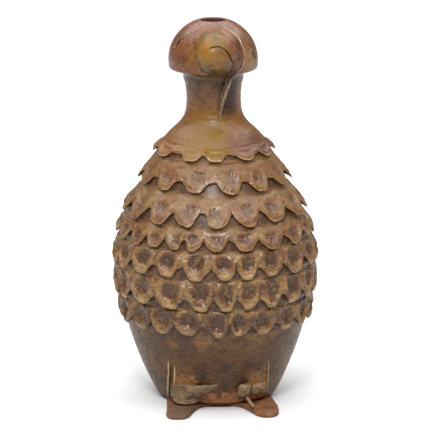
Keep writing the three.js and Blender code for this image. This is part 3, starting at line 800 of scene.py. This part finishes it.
def beak_colour(finish):
    side = plus(finish, distance_along(finish, "X"), cloud(finish, 7, 0.3, 0.7, -4 * mm, 4 * mm))
    level = plus(finish, distance_along(finish, "Z"), cloud(finish, 8, 0.3, 0.7, -3 * mm, 3 * mm))
    high = height_on_pot(finish, 0.9, 0.925, 0.35, 1)
    return coats(
        finish, (0.125, 0.068, 0.009),
        patches=(cloud(finish, 8, 0.42, 0.64, detail=4, move=2), (0.08, 0.04, 0.008)),
        tip=(blush(finish, -2, -58, 337, 16, 0.7), (0.21, 0.1, 0.03)),
        ochre=(blush(finish, -15, -52, 346, 17, 0.7), (0.25, 0.112, 0.016)),
        side=(times(finish, spread(finish, side, -1 * mm, 8 * mm, 0, 0.9), high), (0.15, 0.055, 0.02)),
        skirt=(stored(finish, "skirt", 0.35, 0.95), head_colour(finish)),
        spots=(cloud(finish, 2.4, 0.56, 0.66, 0, 0.8, move=5), (0.05, 0.03, 0.008)),
        # Painted shade on the lower part of the chin
        low=(spread(finish, level, 335 * mm, 324 * mm, 0, 0.85), (0.05, 0.028, 0.009)),
    )


beak_glaze = fired("beak_glaze", beak_colour, (0.34, 0.5), coat=0.05)
lute("beak_chin", oval(chin_middle, chin_size, chin_shave), beak_glaze, "beak_glaze", "beak_lower")
lute("beak_hood", oval(hood_middle, hood_size, hood_shave), beak_glaze, "beak_glaze", "beak_upper")

# Snood: a flap of clay laid from the brow over the bird's left side of the beak, thin along
# its free outer edge, curling in under the chin. Red-brown glaze, with a pale highlight painted along the
# free edge.
snood_face = 0.6  # how far round its section the outer face goes; the rest is the inner face
# Places on its free edge and on its luted edge, from the brow down to the throat, in
# millimetres across, forward and below the crown
snood_free = [(6.5, 24.5, 3.3), (12, 27.8, 6), (20.4, 30, 11.3), (25.4, 33.2, 21.5), (26.6, 34.8, 31)]
snood_free += [(24.6, 36.5, 38.4), (21.4, 38, 42.5), (17.2, 40, 46), (13.8, 41, 49.2), (12.5, 39.5, 51)]
snood_luted = [(2, 32, 6), (7, 42, 9.5), (10.5, 49, 15), (13, 53, 23), (15.5, 50.5, 31)]
snood_luted += [(16.5, 46.5, 38), (15.5, 44, 42), (13.3, 42.5, 46), (12.2, 41, 49), (12, 39.2, 51)]


def on_head(x, forward, drop):
    return Vector((x * mm, -forward * mm, crown - drop * mm))


snood_free = [on_head(*spot) for spot in snood_free]
snood_luted = [on_head(*spot) for spot in snood_luted]


def snood_place(u, v):
    free, luted = through(snood_free, u), through(snood_luted, u)
    pinch = ease(0, 0.04, u) * ease(1, 0.96, u)
    free, luted = luted.lerp(free, 0.5 + 0.5 * pinch), luted.lerp(free, 0.5 - 0.5 * pinch)
    ahead = through(snood_free, u + 0.03) - through(snood_free, u - 0.03)
    out = (through(snood_free, u) - through(snood_luted, u)).cross(ahead).normalized()
    out = out if out.dot(free - Vector((0, 0, dome_height))) > 0 else -out
    ends = ease(0, 0.06, u) * ease(1, 0.95, u)
    if v < snood_face:
        t = v / snood_face
        rise = 1.4 * sin(pi * min(t * 1.1, 1)) + 1.9 * crest(t, 0.93, 0.07) - 1.8 * ease(0.3, 0, t)
        place = luted.lerp(free, t) + out * rise * mm * ends
    else:
        t = (v - snood_face) / (1 - snood_face)
        deep = mix(2.2 * ease(0, 0.12, t) + 3.5 * ease(0.3, 1, t), 1.8, ease(0.85, 1, t))
        place = free.lerp(luted, t) - out * mm * deep * ends
    uneven = 0.45 * unevenness(place, 6 * mm, 8) + 0.15 * unevenness(place, 2 * mm, 8)
    return leaning(place + out * mm * uneven * ends)


def snood_colour(finish):
    patches = cloud(finish, 6, 0.4, 0.62, detail=4, move=7)
    fin = coats(finish, (0.19, 0.125, 0.078), patches=(patches, (0.1, 0.055, 0.034)))
    return coats(
        finish, (0.13, 0.046, 0.022),
        patches=(patches, (0.06, 0.022, 0.013)),
        # Painted light on the snood's upper part and painted shade low down, where it curls under the chin
        lit=(height_on_pot(finish, 0.95, 0.99, 0, 0.7), (0.18, 0.085, 0.042)),
        low=(height_on_pot(finish, 0.905, 0.875, 0, 0.75), (0.02, 0.009, 0.006)),
        specks=(cloud(finish, 1.4, 0.52, 0.68, 0, 0.5), (0.17, 0.08, 0.03)),
        fin=(stored(finish, "fin"), fin),
        # Painted highlight: pale along the snood's free edge and the wattle's front edges
        pale=(stored(finish, "pale", 0.2, 0.9), (0.42, 0.33, 0.23)),
    )


def snood_pale(u, v):
    return crest(v, 0.565, 0.035) * (0.8 + 0.2 * sin(40 * u) * sin(17 * u))


snood_glaze = fired("snood_glaze", snood_colour, (0.28, 0.45))
snood = sheet_of_clay(150, 80, snood_place, pale=snood_pale)
lute("snood_flap", snood, snood_glaze, "snood_glaze", "snood")

# Wattle: a fin of clay pinched out down the neck from the end of the snood, with a flat
# front edge that is thin at the top and fades out on the throat, and a pale highlight painted along it.
wattle_top = 318.5 * mm
wattle_drop = 44 * mm


def wattle_place(u, v):
    height = wattle_top - wattle_drop * u
    surface = radius_on(neck_wall, min(height, head_seat))
    degrees = mix(24, 11, ease(-0.3, 0.85, u)) + 1.5 * sin(5 * u)
    angle = radians(degrees)
    half = 1.45 * mm * (0.4 + 0.6 * ease(0, 0.35, u)) * (1 - 0.4 * ease(0.7, 1, u))
    proud = mix(11 * mm, 0.4 * mm, u**0.85) + 1.5 * mm * sin(pi * u)
    turn = tau * v
    along = max(-1, min(1, 1.3 * cos(turn)))
    side = copysign(abs(sin(turn)) ** 0.7, sin(turn)) * half
    side *= 0 if u in (0, 1) else 1 + 0.6 * ease(0.3, -1, along)
    rise = mix(-2.4 * mm, proud, 0.5 + 0.5 * along)
    place = on_pot(surface + rise, angle, height)
    place += Vector((cos(angle), sin(angle), 0)) * side
    return place + Vector((0.4, 0, 0.3)) * mm * unevenness(place, 5 * mm, 9)


# Painted highlight along both edges of the wattle's front, brighter on one side, fading down
def wattle_pale(u, v):
    return crest(min(v, 1 - v), 0.12, 0.035) * (1 if v > 0.5 else 0.5) * (1 - 0.6 * u)


wattle = sheet_of_clay(100, 48, wattle_place, pale=wattle_pale, fin=lambda u, v: 1.0)
lute("wattle_fin", wattle, snood_glaze, "snood_glaze", "wattle")

# Legs: a panel of clay laid on the wall above each toe, thin at the top where it is
# smoothed away, with a raised edge down its outer side.
leg_top = 52 * mm
leg_thickness = 4 * mm
# The share of a pat's skin that is its face; the rest lies buried in the wall behind it
pat_face = 0.85


def pat_on_wall(around, across, outline, rise, bury=3 * mm, **marks):
    """A pat of clay on the wall: outline(a, t) gives a place on it, across and up, and
    rise(x, z, t) how far it stands off the wall, t going from its middle 0 to its edge 1."""

    def place(u, v):
        t = min(v / pat_face, 1)
        angle = tau * u
        x, z = outline(angle, t)
        off = rise(x, z, t)
        if v > pat_face:
            off = mix(off, -bury, (v - pat_face) / (1 - pat_face))
            x, z = outline(angle, 1 - 0.6 * ease(pat_face, 1, v))
            middle = outline(angle, 0)
            x, z = (mix(a, b, ease(pat_face + 0.05, 1, v)) for a, b in zip((x, z), middle))
        flat = sqrt(max((radius_on(body_wall, z) + off) ** 2 - x**2, 1e-6))
        return Vector((x - lean * z, -flat, z))

    return sheet_of_clay(around, across, place, **marks)


def squarish(low, high, bottom, top, corner):
    """Outline of a panel with rounded corners, as the pats want it."""

    def edge(angle, t):
        c, s = cos(angle), sin(angle)
        x = copysign(abs(c) ** corner, c) * t
        z = copysign(abs(s) ** corner, s) * t
        return mix(low, high, 0.5 + 0.5 * x), mix(bottom, top, 0.5 + 0.5 * z)

    return edge


def leg(side, inner, outer):
    """The panel over one toe; side is -1 on the bird's right, where it has a second ridge."""
    bottom = plate_thickness + 0.3 * mm
    panel = squarish(*sorted((side * inner, side * outer)), bottom, leg_top, 0.3)

    def on_leg(x, z):
        return (abs(x) - inner) / (outer - inner), (z - bottom) / (leg_top - bottom)

    def rise(x, z, t):
        outward, up = on_leg(x, z)
        thick = min(1, 0.05 + 2.2 * (1 - up)) * 0.7 * ease(-0.1, 0.4, outward)
        thick += 0.42 * crest(outward, 0.95, 0.06) * ease(1, 0.75, up)
        if side < 0:
            thick += 0.3 * crest(outward, 0.78, 0.05) * ease(0.95, 0.7, up)
            thick -= 0.4 * crest(outward, 0.87, 0.05) * ease(0.9, 0.7, up)
        rough = 0.25 * mm * unevenness(Vector((x, 0, z)), 5 * mm, 11)
        return (leg_thickness * thick + rough) * ease(1, 0.93, t) - 0.4 * mm * t

    def toasted(u, v):
        x, z = panel(tau * u, min(v / pat_face, 1))
        inward = ease(outer, outer - 8 * mm, abs(x)) if side < 0 else 1
        return ease(50 * mm, 25 * mm, z) * (0.3 + 0.7 * inward) * ease(-0.02, 0.3, on_leg(x, z)[0])

    # Painted highlight: a pale line along the raised outer edge, and on the bird's right along its second
    # ridge
    def pale(u, v):
        x, z = panel(tau * u, min(v / pat_face, 1))
        outward, up = on_leg(x, z)
        outward += 0.016 * unevenness(Vector((0, 0, z)), 6 * mm, 22)
        edge = crest(outward, 0.96, 0.02) * ease(1, 0.85, up)
        second = crest(outward, 0.79, 0.025) * ease(0.9, 0.75, up) * ease(0.4, 0.5, up)
        return max(edge, second if side < 0 else 0) * (0.85 + 0.5 * unevenness(Vector((0, 0, z)), 5 * mm, 23))

    return pat_on_wall(200, 110, panel, rise, toasted=toasted, pale=pale)


lute("leg_right_panel", leg(-1, 18 * mm, 51 * mm), body_glaze, "body_glaze", "leg_right")
lute("leg_left_panel", leg(1, 22 * mm, 47 * mm), body_glaze, "body_glaze", "leg_left")

# Foot pads: lumps of clay that fill the corner between each leg and its toe, combed with
# fine strokes, dry grey-olive with ash. The right one runs on in a spur to the middle.
right_pad_middle = -33.5 * mm
right_pad_half = 14.5 * mm
right_pad_height = 21.5 * mm
right_pad_core = 14 * mm


def combed(finish, *limits):
    return cloud(finish, 3, *limits, stretch=(0.5, 1, 2.6), move=3)


def pad_colour(finish):
    return coats(
        finish, (0.175, 0.108, 0.052),
        patches=(cloud(finish, 7, 0.4, 0.62, detail=4, move=9), (0.11, 0.068, 0.036)),
        ash=(cloud(finish, 1.8, 0.52, 0.66, 0, 0.7, detail=4, stretch=(1, 1, 0.5)), (0.24, 0.16, 0.095)),
        # Paler at the front of the bird's left pad
        dusty=(blush(finish, 29, -72, 18, 26, 0.7), (0.27, 0.165, 0.09)),
        strokes=(combed(finish, 0.5, 0.4, 0, 0.75), (0.055, 0.033, 0.018)),
        worn=(stored(finish, "edge", 0.56, 0.8, 0, 0.4), (0.26, 0.185, 0.12)),
    )


pad_clay = fired("pad_clay", pad_colour, (0.5, 0.72), lambda finish: times(finish, combed(finish), 1.6), 0.0)
right_pad = squarish(
    right_pad_middle - right_pad_half, right_pad_middle + right_pad_half,
    plate_thickness, plate_thickness + right_pad_height, 0.5,
)


def right_pad_place(u, v):
    face = 0.84
    t = min(v / face, 1)
    x, z = right_pad(tau * u, t)
    up = (z - plate_thickness) / right_pad_height
    across = (x - right_pad_middle) / right_pad_half
    shrink = ease(face, 1, v)
    x, z = mix(x, right_pad_middle, shrink), mix(z, right_pad_core, shrink)
    wall_at = sqrt(max((radius_on(body_wall, z) + 4 * mm) ** 2 - x * x, 1e-6))
    front = mix(66 * mm, wall_at + 4 * mm, ease(0, 1.15, up)) - 5 * mm * across**2 - 2 * mm * up
    forward = mix(wall_at - 2 * mm, front, 1 - ease(0.55 if up > 0.3 else 0.8, 1, t) ** 2)
    if v > face:
        forward = mix(wall_at - 2 * mm, wall_at - 6 * mm, (v - face) / (1 - face))
    place = Vector((x - lean * z, -forward, z))
    comb = 2.6 * z / mm + 0.5 * x / mm + 5 * unevenness(place, 9 * mm, 12)
    strokes = 0.22 * mm * sin(comb) * (0.6 + unevenness(place, 6 * mm, 19))
    place.y -= strokes * ease(face, 0.75 * face, v) + 0.9 * mm * unevenness(place, 5 * mm, 13)
    place.z = max(place.z, plate_thickness)
    return place


lute("foot_pad_right_lump", sheet_of_clay(150, 60, right_pad_place), pad_clay, "pad_clay", "foot_pad_right")


def spur_place(u, v):
    x = -mix(33 * mm, 4 * mm, u)
    full = 0 if u in (0, 1) else 1
    radius = mix(9.5 * mm, 1.6 * mm, u**1.1) * full
    turn = tau * v
    z = mix(14.5 * mm, 25.5 * mm, u**0.9) + radius * sin(turn)
    off = mix(3.6 * mm, 0.3 * mm, u) + radius * 0.75 * cos(turn)
    surface = sqrt((radius_on(body_wall, z) + off) ** 2 - x * x)
    comb = 2.2 * z / mm - 1.4 * x / mm + 4 * unevenness(Vector((x, 0, z)), 8 * mm, 12)
    strokes = 0.2 * mm * sin(comb) * full
    place = Vector((x - lean * z, -surface - strokes * cos(turn), z))
    return place + Vector((0, 0.6, 0.6)) * mm * unevenness(place, 5 * mm, 17)


lute("spur_right_roll", sheet_of_clay(90, 36, spur_place), pad_clay, "pad_clay", "spur_right")


def pad_ball(low, high, bottom, top, proud):
    def rise(x, z, t):
        spot = Vector((x, 0, z))
        rough = 1.5 * mm * unevenness(spot, 4 * mm, 14) + 0.5 * mm * unevenness(spot, 1.7 * mm, 15)
        return 3.6 * mm + proud * sqrt(max(1 - t**4, 0)) + rough * (1 - t**4) - 2 * mm * t

    return pat_on_wall(120, 48, squarish(low, high, bottom, top, 0.6), rise, 1 * mm)


left_pad = pad_ball(29 * mm, 45.5 * mm, 11.5 * mm, 25.5 * mm, 4.8 * mm)
lute("foot_pad_left_ball", left_pad, pad_clay, "pad_clay", "foot_pad_left")
inner_pad = pad_ball(15.8 * mm, 29.6 * mm, 11.5 * mm, 26.5 * mm, 4.6 * mm)
lute("inner_pad_left_ball", inner_pad, pad_clay, "pad_clay", "inner_pad_left")

# Scraps: two short ends of rolled clay that were left standing against the left foot,
# stuck there by the glaze and as dry and grey as the pads.
scrap_radius = 1.4 * mm


def scrap(start, end):
    along = (end - start).normalized()
    across = along.cross(Vector((0, 1, 0))).normalized()
    over = along.cross(across)
    length = (end - start).length

    def place(u, v):
        t = mix(-scrap_radius, length + scrap_radius, u)
        beyond = max(-t, t - length, 0)
        radius = sqrt(max(scrap_radius**2 - beyond**2, 0))
        turn = tau * v
        spot = start + along * t + (across * cos(turn) + over * sin(turn)) * radius
        return spot + along * 0.2 * mm * unevenness(spot, 2 * mm, 16) * (radius > 0)

    return sheet_of_clay(40, 20, place)


long_scrap = scrap(Vector((24.8 * mm, -72.2 * mm, 13 * mm)), Vector((29.8 * mm, -76.6 * mm, 6.7 * mm)))
lute("clay_scrap_long_stick", long_scrap, pad_clay, "pad_clay", "clay_scrap_long")
short_top = Vector((19.9 * mm, -58.8 * mm, 9.5 * mm))
short_scrap = scrap(short_top, Vector((19.9 * mm, -56.4 * mm, 7.4 * mm)))
lute("clay_scrap_short_stick", short_scrap, pad_clay, "pad_clay", "clay_scrap_short")

# Flounces: seven strips of clay, each smeared on to the wall along its top edge and then
# pressed with the thumb all round, so that it hangs in lobes with a turned-out lip.
# Khaki glaze lies red-brown and pitted in the presses; a pale tan highlight is painted along the lips, and
# near-black shade under them.
knee = body_wall[-1].y
# Bare band above the strip, its height, how far its lobes hang and its lip stands out, how
# proud its face is and how deep the presses are, in millimetres; then how many presses it
# has behind, and the angles of those in front
flounces = [
    (-4, 11.5, 5.5, 3.4, 1.2, 0.3, 7, [-63, -27, -2, 30, 59]),
    (0, 29, 11, 4.2, 2.5, 1.1, 7, [-71, -46, -19, 10, 36, 62]),
    (0, 28.5, 13, 4.2, 2.5, 1.3, 10, [-64, -43, -21, -4, 19, 38, 65]),
    (0, 22, 11, 4.1, 2.6, 1.6, 14, [-57, -43, -27, -18, -3, 14, 32, 51]),
    (0, 26.5, 12, 3.8, 4.2, 3.7, 15, [-49, -32, -15, 1, 15, 29, 48]),
    (0, 30.5, 12, 3.8, 4.2, 3.8, 15, [-50, -30, -12, 3, 15, 30, 45]),
    (0, 26, 10, 3.8, 4.1, 3.6, 15, [-55, -38, -20, -2, 9, 25, 43]),
]
lip_edge = 2.6 * mm
buried = 1.7 * mm
# Where the face of a strip, its lip and its underside end on the way round its section
face_end, lip_end, under_end = 0.66, 0.78, 0.92


def flounce(number, top, height, wave, lip, proud, hollow, behind, front):
    """The strip of one row, hanging from a top edge at a height on the pot."""
    chance = random.Random(number)
    step = (front[0] + 360 - front[-1]) / (behind + 1)
    presses = front + [front[-1] + step * i + 2.5 * sin(2.4 * i) for i in range(1, behind + 1)]
    presses.append(front[0] + 360)
    upper, lower = number < 3, number > 4
    ranges = {
        "short": (0, 0.18), "skew": (-0.1, 0.1), "square": (0.2, 0.7) if upper else (0.1, 0.55),
        "flare": (0.7, 1), "press": (0.7, 1.1), "curl": (0.2, 1.6), "lean": (-1, 1), "high": (-0.05, 0.06),
    }
    habits = [{key: chance.uniform(*limits) for key, limits in ranges.items()} for _ in presses[:-1]]
    habits.append(habits[0])

    @cache
    def around(u):
        """How hard the strip is pressed at a share of the way round, and how that lobe is."""
        degrees = front[0] + 360 * u
        i = 0
        while i < len(presses) - 2 and presses[i + 1] <= degrees:
            i += 1
        s = (degrees - presses[i]) / (presses[i + 1] - presses[i])
        habit = {key: mix(habits[i][key], habits[i + 1][key], ease(0.38, 0.62, s)) for key in ranges}
        wave_at = (1 + cos(tau * (s + habit["skew"] * sin(pi * s) ** 2))) / 2
        press = mix(wave_at ** (1.0 if upper else 0.42), ease(0.04, 0.8, wave_at), habit["square"])
        away = min(s, 1 - s) * 2
        side = copysign(sin(pi * away), s - 0.5)
        return radians(degrees), press, away, side, habit

    def print_reach(t, away, habit):
        """Below 1 inside the oval print of the thumb."""
        middle, tall, wide = (0.46, 0.44, 0.8) if lower else (0.6, 0.28, 0.62)
        return hypot((t - middle - habit["high"]) / tall, away / wide)

    def place(u, v):
        angle, press, away, side, habit = around(u)
        lowest = top - height + wave * (1 - press) + wave * habit["short"] * press
        length = top - lowest
        out = lip * (0.42 + 0.58 * press) * habit["flare"]
        curl = habit["curl"] * (1 + 0.6 * side * habit["lean"])
        side_ridge = (4 * press * (1 - press)) ** 2 * curl * 0.7 * mm
        tuck = 0.16 * length
        t = min(v / face_end, 1)
        spot = on_pot(90 * mm, angle, top - length * t)
        reach = print_reach(t, away, habit) * (1 + 0.22 * unevenness(spot, 6 * mm, 50 + number))
        if v <= face_end:
            height_at = top - length * t
            rise_by = mix(0.45, 0.85, ease(0.5, 1, away)) if lower else 0.8
            swell = proud * sin(pi / 2 * min(t / rise_by, 1))
            dish = hollow * habit["press"] * ease(1, 0.15, reach)
            rim = (0.6 if lower else 0.15) * mm * crest(reach, 1.05, 0.16) * ease(0.05, 0.25, t)
            curl = ease(0.62, 0.92, t) if lower else ease(0.42, 0.84, t)
            off = max(mix(swell, out + lip_edge * 0.7, curl) - dish, 0.6 * mm)
            off += rim + side_ridge * ease(0.4, 0.95, t)
            off = mix(-0.9 * mm, off, ease(0, 0.14 if lower else 0.3, t))
        elif v <= lip_end:
            turn = pi * (v - face_end) / (lip_end - face_end)
            height_at = lowest - lip_edge * 0.4 * sin(turn)
            off = out + lip_edge * (0.3 + 0.4 * cos(turn)) + side_ridge
        elif v <= under_end:
            t = (v - lip_end) / (under_end - lip_end)
            height_at = mix(lowest, lowest + tuck, t)
            off = mix(out - 0.1 * lip_edge + side_ridge, -1 * mm, ease(0, 0.9, t) ** 0.7)
        else:
            t = (v - under_end) / (1 - under_end)
            height_at = mix(lowest + tuck, top, t)
            off = mix(-1 * mm, -buried, sin(pi * t)) + 0.1 * mm * t
        if 0.01 < v < under_end:
            spot = on_pot(90 * mm, angle, height_at)
            firm = ease(0.02, 0.16, v) * ease(under_end, lip_end, v) * mm
            rough = (0.3 if number == 1 else 0.8) * (1 if lower else ease(0.1, 0.5, v))
            bumps = unevenness(spot, 6 * mm, number) + 0.5 * unevenness(spot, 2.4 * mm, number)
            off += firm * rough * bumps
            pits = max(unevenness(spot, 1.8 * mm, 40 + number) - 0.1, 0)
            off -= firm * ease(1.1, 0.6, reach) * (0 if number == 1 else 1.3) * pits
            droop = unevenness(spot, 6 * mm, 20 + number) + 0.5 * unevenness(spot, 2.6 * mm, 30 + number)
            height_at += firm * 0.8 * droop * ease(0.3, face_end, v)
        surface = radius_on(neck_wall if height_at > knee else body_wall, height_at)
        return on_pot(surface + max(off, -buried), angle, height_at)

    def pressed_mark(u, v):
        t = v / face_end
        if t > 1:
            return 0.0
        _, _, away, _, habit = around(u)
        beyond = 2 * max(t - (0.62 if lower else 0.75), 0)
        return ease(1.05, 0.45, print_reach(t, away, habit) + beyond) * min(hollow / (2.1 * mm), 1)

    # Where a pale highlight is painted along the bottom of the lip, strongest on pressed lobes
    def lip_mark(u, v):
        press = around(u)[1]
        low, high = (0.53, 0.6) if lower else (0.57, 0.64) if number == 1 else (0.632, 0.655)
        return ease(low, high, v) * ease(0.76, 0.72, v) * (press**3 if lower else 0.35 + 0.5 * press)

    # Where painted shade goes: the lip's underside and the face turned in to the wall
    def under_mark(u, v):
        return ease(0.74, 0.79, v) * ease(1.0, 0.97, v)

    return sheet_of_clay(800, 52, place, press=pressed_mark, lip=lip_mark, under=under_mark)


def flounce_colour(finish):
    pressed = times(finish, stored(finish, "press"), cloud(finish, 4, 0.3, 0.6, 0.3, 1, move=6))
    holes = times(finish, stored(finish, "press"), cloud(finish, 1.6, 0.55, 0.62, 0, 0.75, detail=2))
    front = spread(finish, around_pot(finish, -2, 75), 0.1, 0.8, 0.4, 1)
    # Painted highlight: pale tan on the lips, strongest on the front of the pot
    thin = times(finish, stored(finish, "lip"), cloud(finish, 4, 0.3, 0.55, 0.3, 1, move=9), front)
    return coats(
        finish, wall_colour(finish),
        pressed=(spread(finish, pressed, 0.1, 0.8, 0, 0.85), (0.066, 0.028, 0.017)),
        holes=(holes, (0.016, 0.008, 0.005)),
        thin=(spread(finish, thin, 0.1, 1, 0, 0.65), (0.33, 0.21, 0.095)),
        edges=(stored(finish, "edge", 0.65, 0.95, 0, 0.2), (0.34, 0.23, 0.12)),
        # Painted shade: the creases and hollows of the strips are darkened
        creases=(stored(finish, "edge", 0.45, 0.2, 0, 0.8), (0.03, 0.014, 0.008)),
        # Painted shade, near-black, under the lip
        under=(stored(finish, "under"), (0.02, 0.009, 0.006)),
    )


def pressed_relief(finish):
    return times(finish, cloud(finish, 2.4, move=13), 1.2)


def first_flounce_colour(finish):
    return coats(
        finish, neck_colour(finish),
        # Painted highlight: pale tan along the first strip's lip
        lip=(stored(finish, "lip", 0.1, 1, 0, 0.75), (0.36, 0.24, 0.12)),
        # Painted shade, near-black, under the lip
        under=(stored(finish, "under"), (0.02, 0.009, 0.006)),
    )


flounce_glaze = fired("flounce_glaze", flounce_colour, (0.28, 0.5), pressed_relief, 0.2)
first_flounce_glaze = fired("first_flounce_glaze", first_flounce_colour, (0.3, 0.48), coat=0.14)
hems = []
top = knee
for number, (*sizes, behind, front) in enumerate(flounces, 1):
    bare, height, wave, lip, proud, hollow = (size * mm for size in sizes)
    top -= bare
    strip = flounce(number, top, height, wave, lip, proud, hollow, behind, front)
    finish = first_flounce_glaze if number == 1 else flounce_glaze
    lute(f"flounce_{number}_strip", strip, finish, "flounce_glaze", f"flounce_{number}")
    hems.append((top, top - height))
    top -= height

# Shade is painted dark on the wall where a strip overhangs it, down to the strip's hem
lee = body_piece.data.attributes.new("lee", "FLOAT", "POINT")
for point, mark in zip(body_piece.data.vertices, lee.data):
    height = point.co.z + 2.5 * mm * unevenness(point.co, 8 * mm, 18)
    for edge, hem in hems:
        under = ease(hem - 3 * mm, hem + 2.5 * mm, height) * ease(edge - 4 * mm, edge - 8 * mm, height)
        mark.value = max(mark.value, under)
